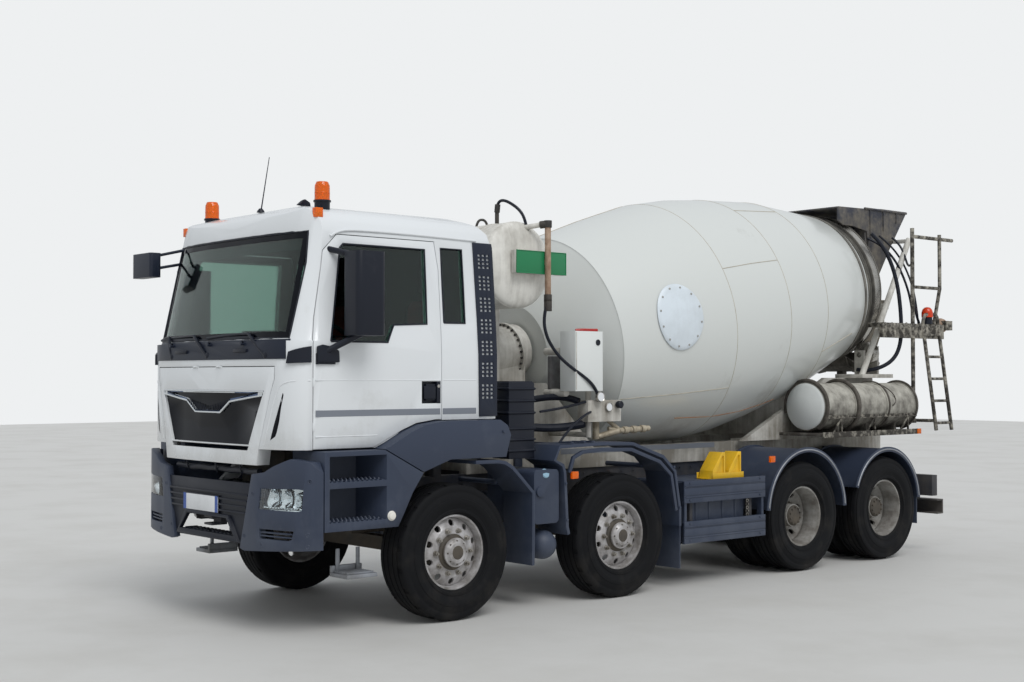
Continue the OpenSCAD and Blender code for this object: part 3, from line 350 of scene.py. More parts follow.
def clearFinish(name, colour, roughness, transmission=1.0):
    # a clear or tinted body with a thin film of dust, which only makes it duller in places
    material = bpy.data.materials.new(name)
    material.use_nodes = True
    tree = material.node_tree
    shader = tree.nodes["Principled BSDF"]
    shader.inputs["Base Color"].default_value = toLinear(colour)
    shader.inputs["Transmission Weight"].default_value = transmission
    shader.inputs["IOR"].default_value = 1.45
    place = addNode(tree, "ShaderNodeTexCoord").outputs["Object"]
    film = addNode(tree, "ShaderNodeTexNoise", {"Scale": 5.0, "Detail": 5.0}, {"Vector": place})
    rough = addNode(tree, "ShaderNodeMapRange", {"To Min": roughness, "To Max": roughness + 0.06},
                    {"Value": film.outputs["Fac"]})
    tree.links.new(rough.outputs[0], shader.inputs["Roughness"])
    return material


# two-pack lorry paint, sprayed: clear gloss over cool white, a little road film low down
cabPaint = weatheredFinish("twoPackWhitePaint", "#dee1e3", "#a29f97", {
    "soiled": 0.22, "lowSoil": (1.2, 2.0), "roughness": (0.22, 0.5), "coat": 0.4, "bump": 0.04,
    "thickest": 0.6})
# polypropylene, injection moulded with a fine grain: matt slate blue, faded and dusty
slatePlastic = weatheredFinish("mouldedSlatePolypropylene", "#343c4d", "#565c68", {
    "soiled": 0.22, "specular": 0.35, "lowSoil": (0.4, 1.5), "roughness": (0.42, 0.7), "grain": 0.003,
    "bump": 0.2})
# polypropylene and rubber, moulded in black: satin, dusty, almost no reflection
blackPlastic = weatheredFinish("mouldedBlackPolypropylene", "#171b26", "#3d3f45", {
    "soiled": 0.25, "specular": 0.3, "roughness": (0.38, 0.75), "grain": 0.003, "bump": 0.2})
# polypropylene of the corner slats, moulded and grained: dark slate, satin
slateTrim = weatheredFinish("mouldedSlateTrim", "#1f2533", "#3a404b", {
    "soiled": 0.25, "specular": 0.3, "roughness": (0.35, 0.65), "grain": 0.003, "bump": 0.15})
# acrylic film and panel, cast and polished: deep black with a thin sharp gloss
glossBlack = weatheredFinish("glossBlackAcrylic", "#070a12", "#1a1d26", {
    "soiled": 0.2, "roughness": (0.12, 0.35), "specular": 0.15, "bump": 0.02})
# chassis enamel over steel: dark slate, splashed with road dirt
chassisPaint = weatheredFinish("chassisEnamel", "#232935", "#5a554f", {
    "soiled": 0.42, "specular": 0.35, "lowSoil": (0.3, 1.3), "roughness": (0.45, 0.85), "grain": 0.008,
    "bump": 0.3})
# enamel on the mixer's own steelwork: off white with cement splash and grease
mixerPaint = weatheredFinish("mixerEnamel", "#e4e2db", "#746d61", {
    "soiled": 0.42, "lowSoil": (0.9, 2.6), "roughness": (0.38, 0.85), "runs": 0.3, "bump": 0.25,
    "grain": 0.01})
# welded sheet under hardened cement: rough, chalky grey, darker in the hollows
crustedSteel = weatheredFinish("cementCrustedSteel", "#a5a198", "#4e4b46", {
    "soiled": 0.5, "patch": 0.22, "lowSoil": (1.0, 4.5), "roughness": (0.7, 0.95), "grain": 0.03,
    "bump": 0.9, "depth": 0.004, "runs": 0.3})
# steel and rubber worn by wet concrete: dark, blunt and lumpy with pale smears; the same dark colour also
# serves as painted shadow at the edges of the running ring
darkCrustAndRingShadow = weatheredFinish("cementCrustAndRingShadow", "#4c4a47", "#8d8980", {
    "soiled": 0.42, "patch": 0.18, "lowSoil": (1.0, 4.5), "roughness": (0.7, 0.95), "grain": 0.025,
    "bump": 0.9, "depth": 0.004})
# carbon-black rubber, moulded: flat black, browned by dust towards the road
tyreRubber = weatheredFinish("tyreRubber", "#0c0d10", "#3a3733", {
    "soiled": 0.28, "specular": 0.2, "patch": 0.25, "lowSoil": (-0.2, 1.1), "lowShare": 0.18,
    "roughness": (0.72, 0.95), "grain": 0.004, "bump": 0.3, "thickest": 0.7})
# silver enamel on a pressed steel rim: pale, soft sheen, brake dust in the corners
frontRimPaint = weatheredFinish("frontRimEnamel", "#cbc9ca", "#5e5850", {
    "soiled": 0.42, "patch": 0.12, "metallic": 0.35, "roughness": (0.35, 0.7), "lowSoil": (0, 1.6)})
# white-grey enamel on a pressed steel rim: dull, caked with road dirt
rearRimPaint = weatheredFinish("rearRimEnamel", "#aeada9", "#5b554e", {
    "soiled": 0.5, "patch": 0.14, "roughness": (0.5, 0.85), "lowSoil": (0, 1.4)})
# cast iron under old grease: near black, coarse skin, patches of shine
greasyIron = weatheredFinish("greasyCastIron", "#2c2a28", "#5b5348", {
    "soiled": 0.42, "patch": 0.15, "roughness": (0.5, 0.9), "grain": 0.006, "bump": 0.5, "depth": 0.001})
# machined steel worn bright: pale metal with brown film
brightSteel = weatheredFinish("wornBrightSteel", "#b9b6b0", "#6f675c", {
    "soiled": 0.35, "patch": 0.1, "metallic": 0.9, "roughness": (0.25, 0.6)})
# chromium on brass or steel, plated and polished: mirror bright
chromeTrim = weatheredFinish("chromedTrim", "#dfe3e6", "#a9adb0", {
    "soiled": 0.2, "metallic": 1.0, "roughness": (0.08, 0.25), "bump": 0.0})
# rolled aluminium sheet: grey with wide soft reflections, duller near the road
tankMetal = weatheredFinish("rolledAluminium", "#a9aeb6", "#5f5c57", {
    "soiled": 0.35, "metallic": 0.5, "roughness": (0.32, 0.65), "lowSoil": (0.4, 1.3)})
# polyethylene, blown in a mould: warm yellow, waxy, scuffed
yellowPlastic = weatheredFinish("mouldedYellowPolyethylene", "#e3b418", "#8d7a3c", {
    "soiled": 0.3, "roughness": (0.4, 0.7)})
# enamelled sheet: even green, half gloss
greenSign = weatheredFinish("greenEnamelSign", "#1f7a4d", "#5b7264", {
    "soiled": 0.2, "roughness": (0.25, 0.5)})
# enamel on the cover of the drum: nearly white with a breath of blue
paleBlueEnamel = weatheredFinish("paleBlueEnamel", "#d6dfe6", "#b3b8ba", {
    "soiled": 0.3, "roughness": (0.35, 0.6), "lowSoil": (1.5, 3.5)})
# woven polyester on foam: deep red, flecked; the thread is drawn at 2.2 mm, coarser than real
seatCloth = weatheredFinish("wovenSeatCloth", "#8e2a2a", "#5b1f20", {
    "soiled": 0.45, "patch": 0.05, "roughness": (0.85, 0.95), "grain": 0.0022, "bump": 0.6,
    "depth": 0.0008})
# woven polyester: charcoal, flecked; the thread is drawn at 2.2 mm, coarser than real
darkCloth = weatheredFinish("wovenDarkCloth", "#2f3136", "#45474b", {
    "soiled": 0.4, "patch": 0.04, "roughness": (0.85, 0.95), "grain": 0.0022, "bump": 0.6, "depth": 0.0008})
# red cloth strap stiff with old enamel: strong dull red
redPaint = weatheredFinish("redEnamel", "#a8231d", "#6b3a30", {"soiled": 0.3, "roughness": (0.3, 0.6)})
# white reflective sheet on aluminium: clean, slightly glossy
numberPlate = weatheredFinish("whiteReflectiveSheet", "#dfe1e3", "#b9bcbd", {
    "soiled": 0.2, "roughness": (0.3, 0.5)})
# blue reflective sheet on aluminium: strong blue, slightly glossy
plateBlue = weatheredFinish("blueReflectiveSheet", "#2a4f9c", "#46598a", {
    "soiled": 0.2, "roughness": (0.3, 0.5)})
# float glass, tinted in the melt: clear with a green cast, thin dust film
tintedGlass = clearFinish("greenTintedGlass", "#9db8ae", 0.01)
# polycarbonate cover, moulded and lacquered: water clear
clearLens = clearFinish("clearPolycarbonate", "#eef3f5", 0.02)
# acrylic, dyed amber: part of the light goes through, the rest shows strong orange
amberLens = clearFinish("amberAcrylic", "#ff7a10", 0.08, 0.45)
# acrylic, dyed red: deep red with little light through
redLens = clearFinish("redAcrylic", "#b01812", 0.1, 0.4)
# silvered glass: shows the surroundings, a trace grey
mirrorGlass = weatheredFinish("silveredGlass", "#cfd6da", "#aab2b6", {
    "soiled": 0.15, "metallic": 1.0, "roughness": (0.03, 0.12), "bump": 0.0})
# chromium with a painted reflection of blue sky: the dark, blue and streaky colour stands in for the sky it
# mirrors
skyReflectionChrome = weatheredFinish("chromeWithPaintedSkyReflection", "#5f6f8c", "#2a3142", {
    "soiled": 0.4, "patch": 0.2, "metallic": 1.0, "roughness": (0.12, 0.35), "bump": 0.0})
# aluminium vapour on plastic: bright reflector, slightly soft
lampChrome = weatheredFinish("aluminisedReflector", "#e4e8ea", "#c4c8ca", {
    "soiled": 0.15, "metallic": 1.0, "roughness": (0.12, 0.3), "bump": 0.0})
# vinyl film, cut and stuck on paint: flat mid grey
greyFilm = weatheredFinish("greyVinylFilm", "#787d86", "#8b8d90", {
    "soiled": 0.2, "roughness": (0.3, 0.5), "bump": 0.0})
# acrylic, dyed milky: white and softly shining
whiteLens = clearFinish("milkyAcrylic", "#f2efe6", 0.2, 0.15)
# galvanised pipe, rusted through in spots: tan with brown blooms
rustyPipe = weatheredFinish("galvanisedPipeWithRust", "#b39b86", "#7a5a42", {
    "soiled": 0.5, "patch": 0.06, "roughness": (0.5, 0.8), "lowSoil": (2.0, 3.4)})
# brass with lime scale: pale, dull gold with dark joints
brassFitting = weatheredFinish("scaledBrass", "#b5ab97", "#6f6250", {
    "soiled": 0.45, "patch": 0.05, "metallic": 0.3, "roughness": (0.45, 0.8)})
# bare sheet steel under dust: mid grey, blunt
dustySteel = weatheredFinish("dustySheetSteel", "#6f6f71", "#4b4743", {
    "soiled": 0.5, "patch": 0.1, "metallic": 0.4, "roughness": (0.5, 0.8)})
# mudguard edge: the lip itself is real, its pale grey colour is a painted highlight, the line of light along
# the edge
edgeHighlightSilver = weatheredFinish("edgeStripWithPaintedHighlight", "#a9acb2", "#6f6f70", {
    "soiled": 0.35, "metallic": 0.5, "roughness": (0.35, 0.6)})
# polypropylene cap, moulded: pale blue, dusty
paleBlueCap = weatheredFinish("mouldedPaleBlueCap", "#8fb3c8", "#5e6d78", {
    "soiled": 0.3, "roughness": (0.35, 0.6)})
# weld bead under enamel with water stains: beige line
seamStain = weatheredFinish("stainedWeldBead", "#b9b2a2", "#7d6f58", {
    "soiled": 0.45, "patch": 0.12, "roughness": (0.5, 0.8)})
# rust washed down from a seam: thin orange brown line
rustLine = weatheredFinish("rustWeep", "#b98a63", "#8a5a36", {
    "soiled": 0.5, "patch": 0.1, "roughness": (0.6, 0.85)})
# tube steel with its paint worn off: brown grey, half dull
wornSteel = weatheredFinish("wornTubeSteel", "#6d675f", "#3f3b37", {
    "soiled": 0.5, "patch": 0.07, "metallic": 0.25, "roughness": (0.5, 0.85), "lowSoil": (1.0, 3.5)})
# cream enamel chipped to the steel: pale field with sharp dark chips
chippedEnamel = weatheredFinish("chippedCreamEnamel", "#cdc7b8", "#231f1b", {
    "soiled": 0.62, "patch": 0.06, "thickest": 0.97, "runs": 0.3, "lowSoil": (1.0, 4.2), "lowShare": 0.1,
    "roughness": (0.45, 0.85), "bump": 0.4, "depth": 0.0015, "grain": 0.012})
# pale grey enamel, fairly clean: smooth, half gloss
cleanEnamel = weatheredFinish("paleGreyEnamel", "#d9dcda", "#a5a29a", {
    "soiled": 0.25, "roughness": (0.4, 0.6)})
# painted chute stored in its rack: pale above, with cement stains in patches; towards the bottom it darkens
# to nearly black, which is painted shade on its underside
rackSteelShadedBelow = weatheredFinish("cementStainedSteelShadedBelow", "#b0ada3", "#37322d", {
    "soiled": 0.5, "patch": 0.13, "thickest": 0.92, "lowSoil": (1.15, 1.7), "lowShare": 0.42,
    "roughness": (0.6, 0.9), "grain": 0.02, "bump": 0.5, "depth": 0.002})
# slate enamel under cement wash: dark sheet with pale runs
hopperSteel = weatheredFinish("slateHopperSteel", "#33353f", "#8c8474", {
    "soiled": 0.42, "patch": 0.14, "lowSoil": (2.2, 3.7), "lowShare": 0.3, "runs": 0.3,
    "roughness": (0.55, 0.9), "grain": 0.02, "bump": 0.7, "depth": 0.003})
# acrylic, dyed orange red: glows a little at its rim
orangeLens = clearFinish("orangeAcrylic", "#e8471c", 0.15, 0.3)
# felt and moulded board of the cab lining: charcoal, no shine
darkLining = weatheredFinish("feltRoofLining", "#2b2f31", "#3c4042", {
    "soiled": 0.4, "roughness": (0.85, 0.95), "grain": 0.003, "bump": 0.4})
print("materials done")

# camera, light and floor

cameraView = {"lens": 49.87, "sensor": 36, "place": (9.745, -9.801, 1.873), "pitch": 1.438, "yaw": 49.08}
clearSelection()
bpy.ops.object.camera_add(location=cameraView["place"], rotation=(math.radians(90 + cameraView["pitch"]), 0,
                                                                  math.radians(cameraView["yaw"])))
camera = bpy.context.object
camera.data.lens = cameraView["lens"]
camera.data.sensor_width = cameraView["sensor"]
bpy.context.scene.camera = camera

studio = {"sky": 0.72, "skyColour": "#eef2f6", "backdrop": "#eef0f1", "sun": 1.5, "sunAngle": 35,
          "sunPlace": (6, -8, 12), "sunTurn": (38, 12, 62),
          "floor": "#c9c8c5", "floorSoil": "#b8b6b1", "floorSize": 90}
world = bpy.data.worlds.new("overcastStudio")
bpy.context.scene.world = world
world.use_nodes = True
skyTree = world.node_tree
skyLight = skyTree.nodes["Background"]
skyLight.inputs["Color"].default_value = toLinear(studio["skyColour"])
skyLight.inputs["Strength"].default_value = studio["sky"]
seen = addNode(skyTree, "ShaderNodeBackground", {"Color": toLinear(studio["backdrop"]), "Strength": 1.0})
rays = addNode(skyTree, "ShaderNodeLightPath").outputs
either = addNode(skyTree, "ShaderNodeMath", {"operation": "MAXIMUM"},
                 {0: rays["Is Camera Ray"], 1: rays["Is Transmission Ray"]})
blend = addNode(skyTree, "ShaderNodeMixShader",
                links={0: either.outputs[0], 1: skyLight.outputs[0], 2: seen.outputs[0]})
skyTree.links.new(blend.outputs[0], skyTree.nodes["World Output"].inputs[0])
clearSelection()
bpy.ops.object.light_add(type="SUN", location=studio["sunPlace"],
                         rotation=[math.radians(turn) for turn in studio["sunTurn"]])
sun = bpy.context.object
sun.data.energy = studio["sun"]
sun.data.angle = math.radians(studio["sunAngle"])

clearSelection()
bpy.ops.mesh.primitive_plane_add(size=studio["floorSize"], location=(0, 0, 0))
floor = bpy.context.object
floor.name = "studioFloor"
# sealed concrete, floated smooth: pale, even grey with broad faint clouds
floorFinish = weatheredFinish("sealedPaleConcrete", studio["floor"], studio["floorSoil"], {
    "soiled": 0.5, "patch": 1.5, "roughness": (0.6, 0.8), "runs": 0.0, "lowShare": 0.0, "bump": 0.05})
floor.data.materials.append(floorFinish)
bpy.context.scene.view_settings.view_transform = "Standard"
print("camera, light and floor done")

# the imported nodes, cleaned and given rounded edges

bodyOf = {node: body for body, nodes in frame["record"]["behaviour"]["bodies"].items() for node in nodes}


def dressed(node, material, edge=0.003, flat=1.0, smooth=32, drop=None):
    source = frame["nodes"][node]
    piece = source.copy()
    piece.data = source.data.copy()
    piece.parent = None
    bpy.context.collection.objects.link(piece)
    for key in list(piece.keys()):
        del piece[key]
    focus(piece)
    bpy.ops.object.mode_set(mode="EDIT")
    bpy.ops.mesh.select_all(action="SELECT")
    bpy.ops.mesh.remove_doubles(threshold=0.00002)
    bpy.ops.mesh.dissolve_limited(angle_limit=math.radians(flat))
    bpy.ops.object.mode_set(mode="OBJECT")
    if drop:
        bpy.ops.object.mode_set(mode="EDIT")
        bpy.ops.mesh.select_all(action="DESELECT")
        bpy.ops.object.mode_set(mode="OBJECT")
        for vertex in piece.data.vertices:
            vertex.select = drop(vertex.co.x, vertex.co.y + frontReach, vertex.co.z)
        bpy.ops.object.mode_set(mode="EDIT")
        bpy.ops.mesh.delete(type="VERT")
        bpy.ops.object.mode_set(mode="OBJECT")
    if edge:
        roundEdges(piece, edge, 2, 28)
    return finishPiece(node + "Dressed", piece, bodyOf[node], material, smooth, (node,))


def onPlainWipers(x, y, z):
    return abs(x) < 0.96 and 2.147 < z < 2.26 and y < 0.2


def onPlainSeats(x, y, z):
    return 0.3 < abs(x) < 0.9 and y > 1.03 and z > 1.7


dressTable = [
    ("frame", chassisPaint, "frame_paint", 0.003),
    ("mixer_frame", mixerPaint, "mixer_paint", 0.003),
    ("bumper", slatePlastic, "grey_plastic", 0.006),
    ("bumper_grid", blackPlastic, "dark_plastic", 0.002),
    ("lamps", blackPlastic, "lamp_lens", 0.002),
    ("cab_steps", slatePlastic, "grey_plastic", 0.004),
    ("axles", greasyIron, "cast_iron", 0.003),
    ("engine", greasyIron, "cast_iron", 0.01),
    ("air_intake", blackPlastic, "dark_plastic", 0.006),
    ("side_tanks", slatePlastic, "tank_metal", 0.004),
    ("side_boxes", slatePlastic, "grey_plastic", 0.005),
    ("side_guards", slatePlastic, "frame_paint", 0.004),
    ("wheel_chocks", yellowPlastic, "yellow_plastic", 0.003),
    ("mudguards", slatePlastic, "grey_plastic", 0.003),
    ("drum_gearbox", mixerPaint, "mixer_paint", 0.004),
    ("water_tank", mixerPaint, "mixer_paint", 0.003),
    ("water_panel", mixerPaint, "mixer_paint", 0.002),
    ("chute_rack", rackSteelShadedBelow, "stained_steel", 0.003),
    ("hoppers", hopperSteel, "stained_steel", 0.003),
    ("platform", chippedEnamel, "mixer_paint", 0.0015),
    ("cab_shell", cabPaint, "white_paint", 0.006),
    ("cab_arches", slatePlastic, "grey_plastic", 0.006),
    ("roof_beacons", amberLens, "amber_plastic", 0.002),
    ("door_left", cabPaint, "white_paint", 0.005),
    ("door_right", cabPaint, "white_paint", 0.005),
    ("mirror_left", blackPlastic, "dark_plastic", 0.008),
    ("mirror_right", blackPlastic, "dark_plastic", 0.008),
    ("front_flap", cabPaint, "white_paint", 0.003),
    ("roller_left", brightSteel, "roller_steel", 0.003),
    ("roller_right", brightSteel, "roller_steel", 0.003),
    ("chute_arm", greasyIron, "arm_paint", 0.003),
    ("chute", crustedSteel, "stained_steel", 0.002),
    ("chute_cylinder", chassisPaint, "arm_paint", 0.002),
    ("chute_rod", chromeTrim, "chromed_rod", 0.001),
]
dressTable += [(f"knuckle_{ending}", greasyIron, "cast_iron", 0.004)
               for ending in ("1_left", "1_right", "2_left", "2_right")]
pieceOf = {node: dressed(node, material, edge) for node, material, slotName, edge in dressTable}
for node in ("cab_glass", "door_glass_left", "door_glass_right"):
    pieceOf[node] = dressed(node, tintedGlass, 0)
pieceOf["cab_trim"] = dressed("cab_trim", slateTrim, 0.0015, drop=onPlainWipers)
pieceOf["cab_interior"] = dressed("cab_interior", blackPlastic, 0.006, drop=onPlainSeats)
print("nodes dressed")

# wheels: tyre, rim, nuts and hub, modelled once and copied

wheel = {
    "x": 1.079, "z": 0.525, "axles": (1.475, 3.27, 5.775, 7.125), "twin": 0.345,
    "tyreRadius": 0.525, "rimRadius": 0.298, "width": 0.312, "steps": 80,
    # side wall from bead to shoulder: inset from the side, then rise over the rim or drop from the crown
    "lowerWall": [(0.042, -0.01), (0.03, 0.004), (0.010, 0.012), (0.008, 0.03), (0.012, 0.036), (0.004, 0.07),
                  (0.0015, 0.074), (0, 0.1), (0, 0.112), (0.004, 0.115)],
    "upperWall": [(0.007, 0.075), (0.010, 0.07), (0.012, 0.058), (0.010, 0.052), (0.012, 0.036),
                  (0.016, 0.02), (0.024, 0.009), (0.036, 0.003)],
    "grooves": (0.084, 0.03), "grooveDepth": 0.013}
# cross cuts in the ribs: reach below the crown, every how many steps, depth, and places along the axle
steerTread = {"zone": 0.008, "every": 4, "push": -0.007, "middle": 0.0, "shoulder": 0.095}
driveTread = {"zone": 0.03, "every": 2, "push": -0.011, "middle": 0.075, "shoulder": 0.095}
wheelCentre = Vector((wheel["x"], 0, wheel["z"]))


def tyreProfile():
    half, depth = wheel["width"] / 2, wheel["grooveDepth"]
    rim, crown = wheel["rimRadius"], wheel["tyreRadius"]
    outer = [(half - inset, rim + rise) for inset, rise in wheel["lowerWall"]]
    outer += [(half - inset, crown - drop) for inset, drop in wheel["upperWall"]]
    for groove in wheel["grooves"]:
        outer += [(groove + 0.006, crown), (groove + 0.004, crown - depth), (groove - 0.004, crown - depth),
                  (groove - 0.006, crown)]
    inner = [(half - 0.06, rim + 0.02), (half - 0.03, crown - 0.12), (half - 0.06, crown - 0.03)]
    return outer + [(-x, r) for x, r in reversed(outer)] + [(-x, r) for x, r in inner] + inner[::-1]


def modelTyre(cuts):
    tyre = turned(wheelCentre, sideways, tyreProfile(), wheel["steps"])
    focus(tyre)
    bpy.ops.object.mode_set(mode="EDIT")
    bpy.ops.mesh.select_all(action="DESELECT")
    bpy.ops.object.mode_set(mode="OBJECT")
    for face in tyre.data.polygons:
        spot = face.center - wheelCentre
        step = int((math.atan2(spot.z, spot.y) % math.tau) / math.tau * wheel["steps"])
        step += cuts["every"] // 2 if spot.x > 0 else 0  # the cuts of the two halves are staggered
        onCrown = math.hypot(spot.y, spot.z) > wheel["tyreRadius"] - cuts["zone"]
        onRib = abs(spot.x) > cuts["shoulder"] or abs(spot.x) < cuts["middle"]
        face.select = onCrown and onRib and step % cuts["every"] == 0 and abs(face.normal.x) < 0.97
    bpy.ops.object.mode_set(mode="EDIT")
    bpy.ops.mesh.extrude_region_shrink_fatten(TRANSFORM_OT_shrink_fatten={"value": cuts["push"]})
    bpy.ops.object.mode_set(mode="OBJECT")
    return tyre


def wheelPlace(piece, axle, side, inner=False):
    shift = Vector((-wheel["twin"] if inner else 0, wheel["axles"][axle] - frontReach, 0))
    twin = copied(piece, shift)
    if side == "right":
        flipped = otherSide(twin)
        bpy.data.objects.remove(twin)
        twin = flipped
    return twin


steerTyre, driveTyre = modelTyre(steerTread), modelTyre(driveTread)
for axle in range(4):
    for side in ("left", "right"):
        ending = f"{axle + 1}_{side}"
        if axle < 2:
            tyre, rimPaint = wheelPlace(steerTyre, axle, side), frontRimPaint
        else:
            tyre = joined([wheelPlace(driveTyre, axle, side), wheelPlace(driveTyre, axle, side, True)])
            rimPaint = rearRimPaint
        finishPiece(f"tyre{axle + 1}{side.title()}", tyre, "wheel_" + ending, tyreRubber, 30,
                    ("tyre_" + ending,))
        dressed("rim_" + ending, rimPaint, 0.002, flat=0.5)
bpy.data.objects.remove(steerTyre)
bpy.data.objects.remove(driveTyre)
print("tyres done")

wheelNuts = {"circle": 0.1675, "radius": 0.017, "length": 0.03, "count": 10, "frontFace": 0.092,
             "rearFace": -wheel["twin"] / 2 + 0.018, "frontStud": 0.012, "rearStud": 0.016}
hubs = {
    "front": [(0.15, 0), (0.163, 0), (0.163, 0.04), (0.158, 0.062), (0.15, 0.068), (0.145, 0.084),
              (0.14, 0.1),
              (0.125, 0.114), (0.108, 0.116), (0.1, 0.13), (0.096, 0.14), (0.093, 0.12), (0.093, 0)],
    "rear": [(0.17, 0), (0.205, 0), (0.205, 0.05), (0.198, 0.088), (0.185, 0.098), (0.1, 0.1005),
             (0.02, 0.112), (0.0185, 0.15), (0.0185, 0)],
    # first and last place of a bolt along the axle, its circle, its radius and how many there are
    "frontBolts": (0.14, 0.153, 0.088, 0.008, 8), "rearBolts": (0.185, 0.213, 0.078, 0.009, 10)}


def modelNuts(face, depth):
    spot = wheelCentre + Vector((face, 0, wheelNuts["circle"]))
    nut = rod(spot, spot + Vector((wheelNuts["length"], 0, 0)), wheelNuts["radius"], 0.002, 6)
    collar = rod(spot, spot + Vector((0.007, 0, 0)), wheelNuts["radius"] * 1.25, 0.001, 16)
    studEnd = spot + Vector((wheelNuts["length"] + depth, 0, 0))
    stud = rod(spot + Vector((0.02, 0, 0)), studEnd, 0.009, 0.001, 12)
    return joined(aroundAxis(joined([nut, collar, stud]), wheelCentre, sideways, wheelNuts["count"], 0.5))


def modelHub(kind, shift):
    centre = wheelCentre + Vector((shift, 0, 0))
    cap = turned(centre, sideways, hubs[kind], 48, 0.0015)
    first, last, circle, radius, count = hubs[kind + "Bolts"]
    bolt = rod(centre + Vector((first, 0, circle)), centre + Vector((last, 0, circle)), radius, 0.001, 6)
    return joined([cap] + aroundAxis(bolt, centre, sideways, count))


frontNuts = modelNuts(wheelNuts["frontFace"], wheelNuts["frontStud"])
rearNuts = modelNuts(wheelNuts["rearFace"], wheelNuts["rearStud"])
frontHub, rearHub = modelHub("front", 0), modelHub("rear", -wheel["twin"] / 2)
for axle in range(4):
    for side in ("left", "right"):
        body, ending = f"wheel_{axle + 1}_{side}", f"{axle + 1}{side.title()}"
        nuts, hub = (frontNuts, frontHub) if axle < 2 else (rearNuts, rearHub)
        finishPiece("wheelNuts" + ending, wheelPlace(nuts, axle, side), body, brightSteel)
        finishPiece("hub" + ending, wheelPlace(hub, axle, side), body, greasyIron)
for model in (frontNuts, rearNuts, frontHub, rearHub):
    bpy.data.objects.remove(model)
print("rims, nuts and hubs done")

# the drum: shell, weld at its foot, running ring and manhole cover; places count along its slanted axis

drumShape = {"start": (3.552, 2.188), "slope": 9.36, "wall": 0.012,
             "table": [(-0.4, 0.4), (0, 0.972), (0.64, 1.085), (1.285, 1.177), (1.72, 1.182), (2.158, 1.149),
                       (2.853, 1.067), (3.88, 0.832), (4.28, 0.62)],  # along, radius
             "ring": (4.11, 0.8, 0.12)}  # along, radius, thickness
slope = math.radians(drumShape["slope"])
drumStart = at(0, *drumShape["start"])
drumAxis = Vector((0, math.cos(slope), math.sin(slope)))
drumUp = Vector((0, -drumAxis.z, drumAxis.y))


def drumRadius(along):
    return onTable(drumShape["table"], along)


def onDrum(along, degrees, lift=0.0):
    turn = math.radians(degrees)
    outwards = Vector((math.cos(turn), 0, 0)) + drumUp * math.sin(turn)
    return drumStart + drumAxis * along + outwards * (drumRadius(along) + lift)


# enamel sprayed over rolled plate, worn by wash water: satin off white, browned towards the mouth
drumPaint = weatheredFinish("drumEnamel", "#cfd2cf", "#7f776a", {
    "soiled": 0.2, "patch": 0.5, "rearSoil": (2.85, 3.35), "rearShare": 0.4, "lowSoil": (1.1, 2.4),
    "lowShare": 0.28, "roughness": (0.28, 0.6), "coat": 0.25, "runs": 0.12, "runWidth": 0.06, "bump": 0.06,
    "grain": 0.02})
wall = drumShape["wall"]
outside = [(-0.4, 0)] + drumShape["table"]
inside = [(a, r - wall) for a, r in reversed(drumShape["table"])][:-1] + [(-0.385, 0.385), (-0.385, 0)]
shell = turned(drumStart, drumAxis, outside + inside, 144)
finishPiece("drumShell", shell, "drum_body", drumPaint, 30, ("drum",))

foot, crest = drumRadius(0) - 0.003, drumRadius(0) + 0.0022
weld = turned(drumStart, drumAxis, [(-0.006, foot), (-0.003, crest), (0.003, crest), (0.006, foot)], 144)
finishPiece("drumWeldSeams", weld, "drum_body", drumPaint)

middle, outer, thick = drumShape["ring"]
ringProfile = [(-0.06, -thick), (-0.06, -0.006), (-0.052, 0), (0.052, 0), (0.06, -0.006), (0.06, -thick)]
ringPoints = [(middle + along, outer + rise) for along, rise in ringProfile]
finishPiece("runningRing", turned(drumStart, drumAxis, ringPoints, 128), "drum_body", brightSteel)

hatch = {"along": 0.65, "degrees": 6.5, "length": 0.25, "height": 0.3, "lift": 0.01, "edgeLift": 0.004,
         "insets": (0.03, 0.11, 0.2, 0.25, 0.2), "thick": 0.008, "bolts": 12, "boltCircle": 0.9}
clearSelection()
bpy.ops.mesh.primitive_circle_add(vertices=64, radius=1, fill_type="NGON", location=(0, 0, 0))
cover = bpy.context.object
bpy.ops.object.mode_set(mode="EDIT")
for depth in hatch["insets"]:
    bpy.ops.mesh.select_all(action="DESELECT")
    bpy.ops.object.mode_set(mode="OBJECT")
    widest = max(cover.data.polygons, key=lambda face: len(face.vertices))
    widest.select = True
    bpy.ops.object.mode_set(mode="EDIT")
    bpy.ops.mesh.inset(thickness=depth)
bpy.ops.object.mode_set(mode="OBJECT")


def onHatch(across, up, lift):
    along = hatch["along"] + across * hatch["length"]
    return onDrum(along, hatch["degrees"] + math.degrees(up * hatch["height"] / drumRadius(along)), lift)


for vertex in cover.data.vertices:
    across, up = vertex.co.x, vertex.co.y
    vertex.co = onHatch(across, up, hatch["lift"] if math.hypot(across, up) < 0.99 else hatch["edgeLift"])
applyModifier(cover, "SOLIDIFY", thickness=hatch["thick"], offset=1)
mendNormals(cover)
finishPiece("manholeCover", cover, "drum_body", paleBlueEnamel)
bolts = []
for k in range(hatch["bolts"]):
    turn = math.tau * (k + 0.4) / hatch["bolts"]
    across, up = math.cos(turn) * hatch["boltCircle"], math.sin(turn) * hatch["boltCircle"]
    bolts.append(rod(onHatch(across, up, 0.012), onHatch(across, up, 0.024), 0.010, 0.001, 6))
finishPiece("manholeBolts", joined(bolts), "drum_body", brightSteel)
print("drum done")

# the skins that trim lies on: cab front, cab side and bumper

